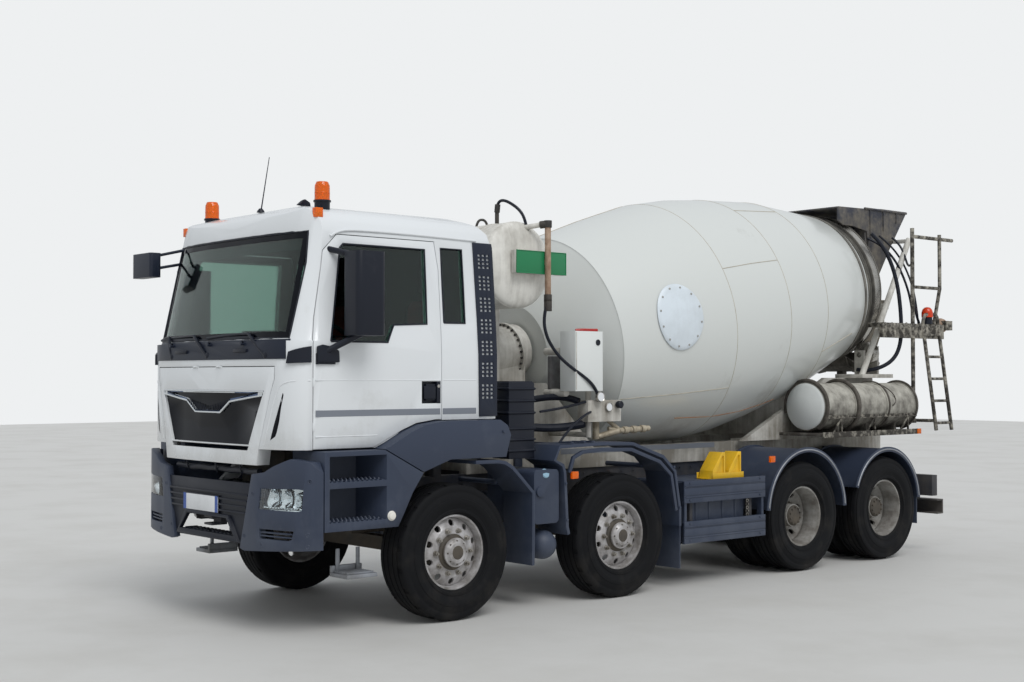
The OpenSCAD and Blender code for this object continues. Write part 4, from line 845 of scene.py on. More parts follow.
cabSkin = {
    "plan": [(0, 0), (0.4, 0.008), (0.7, 0.028), (0.85, 0.048), (0.95, 0.076), (1.01, 0.104),
             (1.06, 0.142), (1.095, 0.19), (1.113, 0.24), (1.12, 0.33)],  # x, y seen from above
    "front": [(1.225, 0.006), (1.5, 0.004), (1.775, 0.004), (1.88, 0.006), (1.995, 0.010), (2.132, 0.041)],
    "side": [(1.38, 1.12), (2.05, 1.12), (2.3, 1.105), (2.8, 1.065), (2.94, 1.052), (3.01, 1.03)],  # z, x
    "lean": 12.7, "sill": 2.132, "gap": 0.002, "screenFlare": 1.025, "screenBack": 0.036, "screenFoot": 0.041}
bumperPlan = [(0, 0), (0.5, 0.002), (0.7, 0.016), (0.85, 0.034), (1.0, 0.066), (1.11, 0.104),
              (1.18, 0.145), (1.225, 0.195), (1.245, 0.248)]
bothDoors = ("left_door", "right_door")
bothCab = ("cab", "cab")
bothChassis = ("chassis", "chassis")


def cabFront(x, z, lift=0.0):
    plan = onTable(cabSkin["plan"], abs(x))
    if z <= cabSkin["sill"]:
        return at(x, max(plan + cabSkin["gap"], onTable(cabSkin["front"], z)) - lift, z)
    foot = max(plan * cabSkin["screenFlare"] + cabSkin["screenBack"], cabSkin["screenFoot"])
    return at(x, foot + (z - cabSkin["sill"]) * math.tan(math.radians(cabSkin["lean"])) - lift, z)


def cabSide(y, z, lift=0.0):
    return at(onTable(cabSkin["side"], z) + lift, y, z)


def bumperFront(x, z, lift=0.0):
    return at(x, onTable(bumperPlan, abs(x)) - lift, z)


def skinSheet(corners, placeOf, thickness, steps, keep=None):
    # a grid laid on a skin; corners run lower left, lower right, upper right, upper left
    clearSelection()
    bpy.ops.mesh.primitive_grid_add(x_subdivisions=steps[0], y_subdivisions=steps[1], size=1,
                                    location=(0, 0, 0))
    piece = bpy.context.object
    if keep:
        bpy.ops.object.mode_set(mode="EDIT")
        bpy.ops.mesh.select_all(action="DESELECT")
        bpy.ops.object.mode_set(mode="OBJECT")
        for face in piece.data.polygons:
            face.select = not keep(face.center.x + 0.5, face.center.y + 0.5)
        bpy.ops.object.mode_set(mode="EDIT")
        bpy.ops.mesh.delete(type="FACE")
        bpy.ops.object.mode_set(mode="OBJECT")
    lowLeft, lowRight, highRight, highLeft = [Vector(corner) for corner in corners]
    for vertex in piece.data.vertices:
        u, v = vertex.co.x + 0.5, vertex.co.y + 0.5
        across, up = lowLeft.lerp(lowRight, u).lerp(highLeft.lerp(highRight, u), v)
        vertex.co = placeOf(across, up)
    applyModifier(piece, "SOLIDIFY", thickness=thickness, offset=0)
    mendNormals(piece)
    return piece


# front flap: black grille in a chrome rim whose lower part carries a painted blue sky reflection, chrome head
# strip and wing line

grille = {"foot": 1.372, "head": 1.774, "halfFoot": 0.590, "flare": 0.4625, "rim": (0.003, 0.010),
          "skyReflectionTo": 1.751, "chromeFrom": 1.748, "slot": (1.326, 1.366), "slotHalf": 0.58,
          "wing": [(-0.752, 1.737), (-0.33, 1.688), (-0.19, 1.604), (0.19, 1.604), (0.33, 1.688),
                   (0.752, 1.737)],
          "headHalf": 0.768, "headZ": 1.766, "meshHalf": 0.31, "meshBars": 26}


def inGrille(x, z, grow=0.0):
    half = grille["halfFoot"] + (z - grille["foot"]) * grille["flare"] + grow
    return grille["foot"] - grow < z < grille["head"] + grow and abs(x) < half


def behindPlan(x, y):
    return y - onTable(cabSkin["plan"], abs(x))


def onGrilleRim(x, y, z, n):
    near, far = grille["rim"]
    return inGrille(x, z, 0.002) and near < behindPlan(x, y) < far and n.y < -0.3


def inGrilleHollow(x, y, z, n):
    return inGrille(x, z) and behindPlan(x, y) > grille["rim"][1] and y < 0.06 and n.y < -0.3


def inFlapSlot(x, y, z, n):
    low, high = grille["slot"]
    return low < z < high and abs(x) < grille["slotHalf"] and behindPlan(x, y) > 0.004


flap = pieceOf["front_flap"]
paintWhere(flap, glossBlack, inGrilleHollow)
# lower part of the grille rim: chrome whose dark blue colour is a painted reflection of the sky
paintWhere(flap, skyReflectionChrome, lambda x, y, z, n: onGrilleRim(x, y, z, n) and z < grille["skyReflectionTo"])
paintWhere(flap, chromeTrim, lambda x, y, z, n: onGrilleRim(x, y, z, n) and z > grille["chromeFrom"])
paintWhere(flap, blackPlastic, inFlapSlot)
wing = hose([cabFront(x, z, -0.006) for x, z in divided(grille["wing"], 4)], 0.008, smooth=False)
headPlaces = spaced(-grille["headHalf"], grille["headHalf"], 25)
headStrip = hose([cabFront(x, grille["headZ"], -0.006) for x in headPlaces], 0.008, smooth=False)
finishPiece("grilleWingLine", joined([wing, headStrip]), "flap", chromeTrim)
meshBars = []
for x in spaced(-grille["meshHalf"], grille["meshHalf"], grille["meshBars"]):
    top = 1.707 - 0.06 * max(0, 1 - abs(x) / 0.33)
    foot = max(1.614, 1.614 + (abs(x) - 0.19) * 0.6)
    aside = 0.02 if x > 0 else -0.02
    ends = [cabFront(x, foot, -0.001), cabFront(x + aside, top, -0.001)]
    meshBars.append(hose(ends, 0.0035, smooth=False, sides=1))
finishPiece("grilleHoneycomb", joined(meshBars), "flap", blackPlastic)

# the tube and its hooks in the gap under the flap

gap = {"half": 0.62, "y": 0.10, "z": 1.17, "wave": 0.004, "radius": 0.024, "hooks": (-0.42, 0.03, 0.4),
       "hook": ((0.066, 1.215), (0.062, 1.17), (0.085, 1.14))}
tube = hose([at(x, gap["y"], gap["z"] + gap["wave"] * math.sin(k * 1.3))
             for k, x in enumerate(spaced(-gap["half"], gap["half"], 21))], gap["radius"])
hooks = [hose([at(x, y, z) for y, z in gap["hook"]], 0.006) for x in gap["hooks"]]
finishPiece("crossTubeUnderFlap", joined([tube] + hooks), "cab", blackPlastic)

# corner of the cab: black slot, raised edges, mirror foot, stripe and body lines

cabCorner = {
    "slot": [(0.962, 1.757), (0.968, 1.742), (0.946, 1.633), (0.932, 1.55), (0.909, 1.469), (0.895, 1.44),
             (0.848, 1.412), (0.883, 1.523), (0.927, 1.648)],
    "edge": [(1.106, 1.845), (1.06, 1.845), (1.01, 1.839), (0.965, 1.826), (0.932, 1.804), (0.91, 1.765),
             (0.885, 1.71), (0.852, 1.61), (0.82, 1.51), (0.775, 1.375)],
    "stripe": (1.582, 1.629), "film": (1.1185, 1.1215), "beadX": 1.1175, "upperBead": 1.846,
    "lowerBead": 1.438, "door": (0.262, 1.394), "rear": (1.418, 1.752),
    "foot": [(1.0, 1.968), (1.112, 1.974), (1.112, 2.092), (1.014, 2.052)],
    "footRear": [(0.262, 1.974), (0.262, 2.092), (0.31, 2.104), (0.40, 2.09), (0.45, 2.06), (0.455, 1.976)]}
slot = plate([cabFront(x, z, 0.0015) for x, z in cabCorner["slot"]], (0, 0.004, 0), 0.001)
bothSides("cornerSlot", slot, bothCab, glossBlack)
edge = hose([cabFront(x, z, -0.003) for x, z in cabCorner["edge"]], 0.0075)
bothSides("cornerPanelEdge", edge, bothCab, cabPaint)
beadX = cabCorner["beadX"]
beads = [hose([at(beadX, 0.26, z), at(beadX, end, z)], 0.005, smooth=False)
         for z, end in ((cabCorner["upperBead"], 1.395), (cabCorner["lowerBead"], 0.8))]
bothSides("doorBodyLines", joined(beads), bothDoors, cabPaint)
for name, reach, bodies in (("doorStripe", "door", bothDoors), ("cabStripe", "rear", bothCab)):
    low, high = [at(x, y, z) for x, y, z in zip(cabCorner["film"], cabCorner[reach], cabCorner["stripe"])]
    bothSides(name, block(low, high, 0.0008, 1), bodies, greyFilm)
rearLine = hose([at(beadX, y, cabCorner["upperBead"]) for y in cabCorner["rear"]], 0.005, smooth=False)
bothSides("cabBodyLine", rearLine, bothCab, cabPaint)
foot = skinSheet(cabCorner["foot"], lambda x, z: cabFront(x, z, 0.012), 0.024, (8, 4))
bothSides("mirrorFootCover", foot, bothCab, blackPlastic, 50)
footRear = plate([at(1.122, y, z) for y, z in cabCorner["footRear"]], (0.022, 0, 0), 0.008, 3)
bothSides("mirrorFootOnDoor", footRear, bothDoors, blackPlastic, 50)

# silvered glass in the mirrors, black hollow behind the door's grip


def onMirrorGlass(x, y, z, n):
    return n.y > 0.9 and 0.66 < y < 0.699 and 2.205 < z < 2.745


def onLoneMirror(x, y, z, n):
    return n.y > 0.9 and x < -0.96 and z > 2.7 and y > 0.09


def inGripHollow(x, y, z, n):
    return 1.214 < y < 1.398 and 1.666 < z < 1.84 and (abs(x) < 1.118 or abs(x) > 1.1205)


for node in ("mirror_left", "mirror_right"):
    paintWhere(pieceOf[node], mirrorGlass, onMirrorGlass)
paintWhere(pieceOf["cab_trim"], mirrorGlass, onLoneMirror)
for node in ("door_left", "door_right"):
    paintWhere(pieceOf[node], blackPlastic, inGripHollow)
grip = block(at(1.108, 1.238, 1.700), at(1.121, 1.352, 1.800), 0.006, 3)
lockProfile = [(0, 0), (0, 0.013), (0.003, 0.013), (0.0045, 0.010), (0.0045, 0)]
lock = turned(at(1.12, 1.378, 1.80), sideways, lockProfile, 24)
bothSides("doorGrip", grip, bothDoors, blackPlastic)
bothSides("doorLock", lock, bothDoors, brightSteel)

# rubber round the glass, drip rail, black edge of the screen and the sun blind

glassEdge = {
    "door": [(0.392, 2.13), (0.446, 2.475), (0.5, 2.82), (0.53, 2.85), (0.9, 2.85), (1.283, 2.85),
             (1.2785, 2.56),
             (1.274, 2.276), (0.96, 2.262), (0.93, 2.2), (0.9, 2.13), (0.65, 2.13), (0.392, 2.13)],
    "quarter": [(1.44, 2.29), (1.44, 2.58), (1.44, 2.87), (1.65, 2.87), (1.65, 2.58), (1.65, 2.29),
                (1.44, 2.29)],
    "drip": [(0.42, 2.90, 0.004), (0.5, 2.952, 0.006), (0.6, 2.962, 0.008), (1.2, 2.964, 0.008),
             (1.80, 2.950, 0.006)],
    "screen": [(-0.97, 2.152), (0.97, 2.152), (0.984, 2.7), (0.954, 2.938), (-0.954, 2.938), (-0.984, 2.7),
               (-0.97, 2.152)],
    "screenSheet": [(-0.972, 2.151), (0.972, 2.151), (0.958, 2.938), (-0.958, 2.938)],
    "blackAcross": 0.028, "blackUp": 0.07,
    "blind": [(-0.95, 2.80), (0.95, 2.80), (0.95, 2.90), (-0.95, 2.90)]}


def onScreenEdge(u, v):
    across, up = glassEdge["blackAcross"], glassEdge["blackUp"]
    return v < up or v > 1 - up or u < across or u > 1 - across


seal = hose([cabSide(y, z, -0.001) for y, z in glassEdge["door"]], 0.008, smooth=False, sides=2)
bothSides("doorWindowRubber", seal, bothDoors, blackPlastic)
quarterSeal = hose([cabSide(y, z, -0.001) for y, z in glassEdge["quarter"]], 0.008, smooth=False, sides=2)
bothSides("quarterWindowRubber", quarterSeal, bothCab, blackPlastic)
drip = hose([cabSide(*spot) for spot in glassEdge["drip"]], 0.010)
bothSides("dripRail", drip, bothCab, cabPaint)
screenBorder = skinSheet(glassEdge["screenSheet"], lambda x, z: cabFront(x, z, -0.0105), 0.0016, (80, 32),
                         onScreenEdge)
finishPiece("screenBlackEdge", screenBorder, "cab", glossBlack)
screenPlaces = divided(glassEdge["screen"], 12)
screenSeal = hose([cabFront(x, z, -0.006) for x, z in screenPlaces], 0.009, smooth=False, sides=2)
finishPiece("screenRubber", screenSeal, "cab", blackPlastic)
blind = skinSheet(glassEdge["blind"], lambda x, z: cabFront(x, z, -0.03), 0.004, (40, 2))
finishPiece("sunBlindRoll", blind, "cab", darkCloth)

# wipers: covers over the pivots, cranked arms, blades with a rubber lip, and the washer jets

wiper = {
    "pivots": ((-0.60, 0.13, 0.22), (-0.019, 0.255, 0.62), (0.79, 0.255, 0.60)),  # x, reach, blade length
    "z": 2.03, "rise": 0.16, "cover": [(0, 0), (0, 0.028), (0.010, 0.026), (0.018, 0.016), (0.020, 0)],
    "arm": 0.0115, "blade": 0.0095, "bladeZ": 2.168, "jets": (-0.47, 0.44)}
wiperPieces = []
for x, reach, length in wiper["pivots"]:
    pivot = cabFront(x, wiper["z"], 0.005)
    elbow = cabFront(x - reach, wiper["z"] + wiper["rise"], 0.015)
    wiperPieces.append(turned(cabFront(x, wiper["z"], -0.004), (0, -1, 0.05), wiper["cover"], 24))
    wiperPieces.append(hose([pivot, pivot.lerp(elbow, 0.35) + Vector((0, -0.012, 0)),
                             pivot.lerp(elbow, 0.75) + Vector((0, -0.010, 0.004)), elbow], wiper["arm"]))
    bladeStart, bladeEnd = x - reach + 0.05, x - reach - length
    bladeTip = cabFront(bladeEnd, wiper["bladeZ"], 0.012)
    bladeBow = elbow.lerp(bladeTip, 0.3) + Vector((0, 0, 0.012))
    wiperPieces.append(hose([elbow, bladeBow, bladeTip], wiper["blade"]))
    lipCorners = [(bladeEnd, 2.148), (bladeStart, 2.158), (bladeStart, 2.176), (bladeEnd, 2.170)]
    wiperPieces.append(skinSheet(lipCorners, lambda across, up: cabFront(across, up, 0.002), 0.006, (12, 1)))
for x in wiper["jets"]:
    wiperPieces.append(block(cabFront(x - 0.055, 2.052, 0.020), cabFront(x + 0.13, 2.078, -0.004), 0.006, 2))
finishPiece("wipersAndJets", joined(wiperPieces), "cab", blackPlastic)

# roof: beacon bases, amber domes with ribs, rod aerial and a low fin

roof = {"beacon": (0.83, 0.5, 3.19), "baseTop": 3.1895, "aerialFoot": (0.03, 0.452, 3.165),
        "aerial": ((0.03, 0.455, 3.18), (-0.09, 0.60, 3.63)), "aerialRadius": (0.0055, 0.003),
        "dome": [(0, 0), (0, 0.0585), (0.006, 0.0585), (0.010, 0.0572), (0.05, 0.0572), (0.054, 0.0585),
                 (0.058, 0.0572), (0.104, 0.0565), (0.118, 0.053), (0.132, 0.042), (0.138, 0.024),
                 (0.139, 0)],
        "aerialBase": [(0, 0), (0, 0.032), (0.012, 0.028), (0.03, 0.014), (0.034, 0)],
        "fin": [(0.40, 3.165), (0.52, 3.155), (0.515, 3.19), (0.47, 3.215), (0.44, 3.20)]}
paintWhere(pieceOf["roof_beacons"], blackPlastic, lambda x, y, z, n: z < roof["baseTop"] and y > 0.43)
dome = turned(at(*roof["beacon"]), upward, roof["dome"], 64)
bothSides("beaconDome", dome, bothCab, amberLens)
aerialBase = turned(at(*roof["aerialFoot"]), upward, roof["aerialBase"], 24)
aerial = rod(*route(roof["aerial"]), roof["aerialRadius"][0], 0, 10, roof["aerialRadius"][1])
finishPiece("rodAerial", joined([aerialBase, aerial]), "cab", blackPlastic)
fin = plate([at(0.62, y, z) for y, z in roof["fin"]], (0.03, 0, 0), 0.008, 3)
finishPiece("roofFin", fin, "cab", blackPlastic)

# headlamps behind clear covers, strips of light, fog slots and plugs in the bumper

headlamp = {"bowls": [(0.850, 0.990, 0.056), (0.985, 0.990, 0.050), (1.080, 0.985, 0.038)],  # x, z, radius
            "depth": 0.052, "stripStart": 0.775, "stripStep": 0.028, "stripWide": 0.022,
            "stripZ": (0.925, 0.938), "fogStart": 0.765, "fogStep": 0.02, "fogZ": (0.722, 0.749),
            "plugs": [(1.197, 1.129), (1.188, 0.749), (1.188, 0.665), (0.669, 1.023), (0.558, 0.707),
                      (0.774, 0.655)],
            "plug": [(0, 0), (0, 0.019), (0.006, 0.018), (0.009, 0.0145), (0.0065, 0.011), (0.0065, 0)]}


def bowlProfile(radius):
    return [(-0.05, 0.0), (-0.05, radius * 0.3), (-0.032, radius * 0.75), (0.0, radius),
            (0.004, radius + 0.006),
            (0.0, radius + 0.007), (-0.036, radius * 0.8), (-0.056, radius * 0.3), (-0.056, 0)]


def bulbProfile(radius):
    return [(-0.05, 0), (-0.05, radius * 0.22), (-0.02, radius * 0.24), (-0.006, radius * 0.16), (-0.003, 0)]


def onHeadlampCover(x, y, z, n):
    return 0.9 < z < 1.08 and y - onTable(bumperPlan, abs(x)) < 0.014


lampNode = pieceOf["lamps"]
paintWhere(lampNode, lampChrome, lambda x, y, z, n: 0.905 < z < 1.08 and y < 0.3)
paintWhere(lampNode, clearLens, onHeadlampCover)
paintWhere(lampNode, redLens, lambda x, y, z, n: y > 8 and abs(x) < 1.04)
paintWhere(lampNode, amberLens, lambda x, y, z, n: y > 8 and abs(x) > 1.05)
bowls = []
for x, z, radius in headlamp["bowls"]:
    middle = at(x, onTable(bumperPlan, x) + headlamp["depth"], z)
    bowls.append(turned(middle, forward, bowlProfile(radius), 40))
    bowls.append(turned(middle, forward, bulbProfile(radius), 24))
bothSides("lampBowls", joined(bowls), bothChassis, lampChrome)
stripBlocks = []
for k in range(12):
    x = headlamp["stripStart"] + headlamp["stripStep"] * k
    low, high = headlamp["stripZ"]
    farCorner = bumperFront(x + headlamp["stripWide"], high, -0.02)
    stripBlocks.append(block(bumperFront(x, low, -0.042), farCorner, 0.002, 1))
bothSides("lampLowerStrip", joined(stripBlocks), bothChassis, lampChrome)
fogBars = [hose([bumperFront(headlamp["fogStart"] + headlamp["fogStep"] * k, z, -0.016) for k in range(16)],
                0.006, smooth=False) for z in headlamp["fogZ"]]
bothSides("fogSlotBars", joined(fogBars), bothChassis, slatePlastic)
plugs = []
for x, z in headlamp["plugs"]:
    slope = Vector((onTable(bumperPlan, x + 0.01) - onTable(bumperPlan, x - 0.01), -0.02, 0)).normalized()
    plugs.append(turned(bumperFront(x, z) - slope * 0.0065, slope, headlamp["plug"], 24))
bothSides("bumperPlugs", joined(plugs), bothChassis, slatePlastic)

# blank number plate on the grid, white with blue ends, in its holder

board = {"left": -0.362, "right": 0.172, "low": 0.842, "high": 0.972, "y": 0.004, "thick": 0.006,
         "end": 0.042}
face = block(at(board["left"], board["y"], board["low"]),
             at(board["right"], board["y"] + board["thick"], board["high"]), 0.0025, 2)
finishPiece("blankNumberPlate", face, "chassis", numberPlate)
for name, left, right in (("plateEndRight", board["left"], board["left"] + board["end"]),
                          ("plateEndLeft", board["right"] - board["end"], board["right"])):
    end = block(at(left, board["y"] - 0.0012, board["low"] + 0.003),
                at(right, board["y"] + 0.001, board["high"] - 0.003), 0.0008, 1)
    finishPiece(name, end, "chassis", plateBlue)
holder = []
for z in (board["low"], board["high"]):
    start, end = at(board["left"] - 0.008, 0.003, z - 0.006), at(board["right"] + 0.008, 0.012, z + 0.004)
    holder.append(block(start, end, 0.002, 2))
finishPiece("plateHolder", joined(holder), "chassis", blackPlastic)

# steps: toothed treads, the round lamp on the arch and the metal step below

tread = {"levels": (1.118, 0.828), "rows": (1.19, 1.13, 1.07), "y": (0.30, 0.80), "teeth": 15,
         "archLamp": [(0, 0), (0, 0.037), (0.006, 0.037), (0.012, 0.031), (0.02, 0.027), (0.024, 0.014),
                      (0.025, 0)]}
teeth = [rod(at(x, y, level - 0.004), at(x, y, level + 0.014), 0.014, 0, 8, 0.006)
         for level in tread["levels"] for y in spaced(*tread["y"], tread["teeth"]) for x in tread["rows"]]
bothSides("stepTeeth", joined(teeth), bothChassis, slatePlastic)
archLamp = turned(at(1.243, 0.843, 0.848), sideways, tread["archLamp"], 40)
bothSides("archRoundLamp", archLamp, bothChassis, whiteLens)
lowStep = [block(at(0.90, 0.53, 0.395), at(1.13, 0.80, 0.425), 0.004)]  # tread plate
lowStep.append(block(at(0.90, 0.53, 0.425), at(0.93, 0.80, 0.475), 0.004))  # upstand at its inner edge
lowStep += [block(at(x, 0.545, 0.425), at(x + 0.012, 0.785, 0.437), 0.002, 1) for x in spaced(0.94, 1.09, 6)]
lowStep += [block(at(0.93, y, 0.42), at(0.945, y + 0.03, 0.60), 0.003) for y in (0.56, 0.74)]  # hangers
bothSides("lowMetalStep", joined(lowStep), bothChassis, tankMetal)
print("cab and front trim done")

# water tank: bands, end seam, vent hose and pipe

tank = {"y": 2.45, "z": 2.808, "bands": (-0.55, 0.0, 0.55),
        "band": [(-0.02, 0.36), (-0.02, 0.3665), (0.02, 0.3665), (0.02, 0.36)],
        "seam": [(-0.006, 0.358), (-0.004, 0.3655), (0.006, 0.3655), (0.010, 0.35)],
        "vent": [(0.555, 2.45, 3.33), (0.575, 2.45, 3.365), (0.62, 2.45, 3.372), (0.68, 2.455, 3.355),
                 (0.74, 2.47, 3.32), (0.80, 2.5, 3.27), (0.83, 2.53, 3.19), (0.84, 2.55, 3.05)],
        "lift": [(0.33, 2.40, 3.15), (0.335, 2.41, 3.215), (0.35, 2.45, 3.235), (0.365, 2.49, 3.215),
                 (0.37, 2.50, 3.15)]}
bands = [turned(at(x, tank["y"], tank["z"]), sideways, tank["band"], 72) for x in tank["bands"]]
bands.append(turned(at(0.795, tank["y"], tank["z"]), sideways, tank["seam"], 72))
finishPiece("waterTankBands", joined(bands), "chassis", mixerPaint)
ventBase = rod(at(0.55, tank["y"], 3.14), at(0.55, tank["y"], 3.28), 0.018)
ventBend = rod(at(0.55, tank["y"], 3.27), at(0.56, tank["y"], 3.34), 0.024)
vent = hose(route(tank["vent"]), 0.013)
lift = hose(route(tank["lift"]), 0.011)
finishPiece("tankVentHose", vent, "chassis", blackPlastic)
finishPiece("tankVentPipe", joined([ventBase, ventBend, lift]), "chassis", greasyIron)

# plain green sign with its rim

sign = {"x": 0.961, "y": (2.318, 2.862), "z": (2.737, 2.913), "thick": 0.003, "rim": 0.004,
        "rimRadius": 0.006}
(near, far), (low, high) = sign["y"], sign["z"]
signFace = plate([at(sign["x"], y, z) for y, z in ((near, low), (far, low), (far, high), (near, high))],
                 (sign["thick"], 0, 0), 0.001)
finishPiece("greenSignFace", signFace, "chassis", greenSign)
near, far, low, high = near - sign["rim"], far + sign["rim"], low - sign["rim"], high + sign["rim"]
corners = ((near, low), (far, low), (far, high), (near, high), (near, low))
signRim = hose([at(0.962, y, z) for y, z in corners], sign["rimRadius"], smooth=False)
finishPiece("greenSignRim", signRim, "chassis", greenSign)

# stand pipe with elbows, hose down to the valves

standPipe = {"x": 0.985, "y": 2.64, "elbows": ((3.15, 0.03), (2.53, 0.03), (2.47, 0.05)),  # z, half height
             "elbow": 0.034, "bend": [(-0.03, 0), (-0.03, 0.032), (0.03, 0.032), (0.03, 0)],
             "rusty": (0.95, 1.02),
             "drain": [(0.985, 2.62, 2.46), (0.975, 2.60, 2.36), (0.975, 2.61, 2.26), (0.985, 2.66, 2.15),
                       (1.00, 2.76, 2.03), (1.03, 2.90, 1.93), (1.055, 3.02, 1.86), (1.06, 3.12, 1.78),
                       (1.03, 3.19, 1.70), (0.98, 3.21, 1.655)]}


def onRustyPipe(x, y, z, n):
    low, high = standPipe["rusty"]
    return low < x < high and 2.60 < y < 2.68 and z > 2.46


def onControlBox(x, y, z, n):
    return x > 0.84 and 2.90 < y < 3.23 and z > 1.752


elbows = [turned(at(standPipe["x"], standPipe["y"], z), upward,
                 [(-h, 0), (-h, standPipe["elbow"]), (h, standPipe["elbow"]), (h, 0)], 24, 0.003)
          for z, h in standPipe["elbows"]]
pipeTop = rod(at(standPipe["x"], standPipe["y"], 3.155), at(0.80, 2.50, 3.12), 0.022)
elbows.append(turned(at(0.955, 2.617, 3.147), (-0.79, -0.6, -0.1), standPipe["bend"], 24, 0.003))
finishPiece("standPipeElbows", joined(elbows), "chassis", greasyIron)
finishPiece("standPipeTop", pipeTop, "chassis", mixerPaint)
paintWhere(pieceOf["water_panel"], cleanEnamel, onControlBox)
paintWhere(pieceOf["water_panel"], rustyPipe, onRustyPipe)
finishPiece("blackDrainHose", hose(route(standPipe["drain"]), 0.014), "chassis", blackPlastic)

# control box and valve block: pipes, cooler, gauges, knob, strap and fittings

panel = {"pipes": (2.09, 1.735), "cooler": ((0.66, 2.93, 1.76), (0.70, 3.26, 2.05)),
         "hole": [(0, 0), (0, 0.026), (0.004, 0.026), (0.004, 0.02), (0.001, 0.018), (0.001, 0)],
         "knob": [(0, 0), (0, 0.022), (0.012, 0.024), (0.016, 0.032), (0.05, 0.032), (0.056, 0.026),
                  (0.056, 0)],
         "boxGauge": [(0, 0), (0, 0.045), (0.022, 0.045), (0.026, 0.042), (0.022, 0.038), (0.022, 0)],
         "valveGauge": [(0, 0), (0, 0.04), (0.018, 0.04), (0.022, 0.037), (0.018, 0.034), (0.018, 0)],
         "dials": ((1.0565, 3.19, 1.70, 0.036), (1.0175, 3.33, 1.61, 0.032)),  # place and radius
         "strap": [(0.94, 3.00, 2.268), (0.97, 3.05, 2.276), (0.98, 3.12, 2.268), (1.00, 3.20, 2.272)],
         "coupling": (1.40, 3.50, 0.055),  # height, first y and step of the row of couplings
         "hoses": (
             ([(0.66, 2.35, 1.50), (0.76, 2.60, 1.44), (0.84, 2.85, 1.43), (0.89, 3.05, 1.45),
               (0.92, 3.12, 1.47)], 0.036),
             ([(0.55, 2.75, 1.66), (0.68, 2.88, 1.70), (0.80, 2.98, 1.72), (0.93, 3.05, 1.66)], 0.03),
             ([(0.99, 2.72, 1.27), (1.01, 2.84, 1.42), (1.02, 2.97, 1.52), (1.02, 3.08, 1.565),
               (1.0, 3.12, 1.57)], 0.0105),
             ([(0.93, 2.60, 1.58), (0.95, 2.80, 1.60), (0.96, 2.98, 1.63), (0.97, 3.10, 1.66)], 0.011))}
pipes = [rod(at(0.62, 2.95, z), at(0.88, 2.95, z), 0.033) for z in panel["pipes"]]
finishPiece("controlPipes", joined(pipes), "chassis", mixerPaint)
finishPiece("coolerPlate", block(*route(panel["cooler"]), 0.006), "chassis", dustySteel)
hole = turned(at(1.0405, 3.17, 2.165), sideways, panel["hole"], 32)
knob = turned(at(1.0, 3.44, 1.63), sideways, panel["knob"], 24)
finishPiece("boxHoleAndKnob", joined([hole, knob]), "chassis", blackPlastic)
gauges = [turned(at(1.035, 3.19, 1.70), sideways, panel["boxGauge"], 40),
          turned(at(1.0, 3.33, 1.61), sideways, panel["valveGauge"], 40)]
finishPiece("gaugeCases", joined(gauges), "chassis", brightSteel)
dials = [turned(at(x, y, z), sideways, [(0, 0), (0, radius), (0.0015, radius), (0.0015, 0)], 32)
         for x, y, z, radius in panel["dials"]]
finishPiece("gaugeDials", joined(dials), "chassis", numberPlate)
finishPiece("redStrap", hose(route(panel["strap"]), 0.014), "chassis", redPaint)
boxEdge = hose([at(1.042, 2.915, 2.25), at(1.042, 2.915, 1.765)], 0.004, smooth=False)
finishPiece("controlBoxEdge", boxEdge, "chassis", mixerPaint)
fittings = []
level, firstY, stepY = panel["coupling"]
for k in range(7):
    width = 0.034 if k % 2 else 0.026
    fittings.append(turned(at(0.96, firstY + stepY * k, level + 0.002 * k), (0, 1, 0),
                           [(0, 0), (0, width), (0.05, width), (0.05, 0)], 12, 0.003))
fittings += [rod(at(0.93, 3.40, z), at(0.96, 3.52, level), 0.02) for z in (1.42, 1.49)]
fittings.append(rod(at(0.90, 3.28, 1.33), at(0.90, 3.28, 1.49), 0.03))
fittings.append(rod(at(0.905, 3.30, 1.35), at(0.96, 3.50, level), 0.028))
finishPiece("waterFittings", joined(fittings), "chassis", brassFitting)
looseHoses = [hose(route(points), radius) for points, radius in panel["hoses"]]
finishPiece("panelHoses", joined(looseHoses), "chassis", blackPlastic)

# gearbox in front of the drum: flange and its ring of bolts

gearbox = {"start": (0, 3.13, 2.118), "flangeAt": 0.10, "boltAt": (0.128, 0.15), "circle": 0.249, "bolts": 28,
           "flange": [(0, 0.2), (0, 0.262), (0.03, 0.262), (0.03, 0.2)]}
gearAxis = -drumAxis
gearStart = at(*gearbox["start"])
flange = turned(gearStart + gearAxis * gearbox["flangeAt"], gearAxis, gearbox["flange"], 64, 0.003)
boltSpots = [gearStart + gearAxis * reach + Vector((gearbox["circle"], 0, 0)) for reach in gearbox["boltAt"]]
gearBolts = aroundAxis(rod(*boltSpots, 0.0105, 0.001, 6), gearStart, gearAxis, gearbox["bolts"])
finishPiece("gearboxBolts", joined(gearBolts), "chassis", greasyIron)
finishPiece("gearboxFlange", flange, "chassis", mixerPaint)
print("parts before the drum done")

# small lamps, caps and edges along the left and right sides

flank = {"lamps": ((2.695, 1.063), (5.251, 1.096)),
         "lips": ((5.80, 0.575, 0.592, 4, 174), (7.125, 0.57, 0.558, 6, 158)),
         "lipX": 1.2465, "cap": [(-0.02, 0), (-0.02, 0.04), (0.012, 0.04), (0.02, 0.034), (0.022, 0)],
         "clips": ((2.66, 1.325), (2.80, 1.326), (2.90, 1.326)),
         "studs": ((2.615, 0.70), (2.60, 1.0), (3.90, 1.08), (3.975, 0.72), (1.93, 1.44)),
         "ribs": (0.80, 0.90, 0.44, 0.54), "ribStuds": (0.775, 0.925, 0.415, 0.565), "posts": (4.18, 5.0),
         "link": [(-0.004, 0.010), (-0.004, 0.018), (0.004, 0.018), (0.004, 0.010)], "railBoltStep": 0.16}
lampBlocks = [block(at(1.236, y - 0.036, z - 0.03), at(1.262, y + 0.036, z + 0.03), 0.006, 2)
              for y, z in flank["lamps"]]
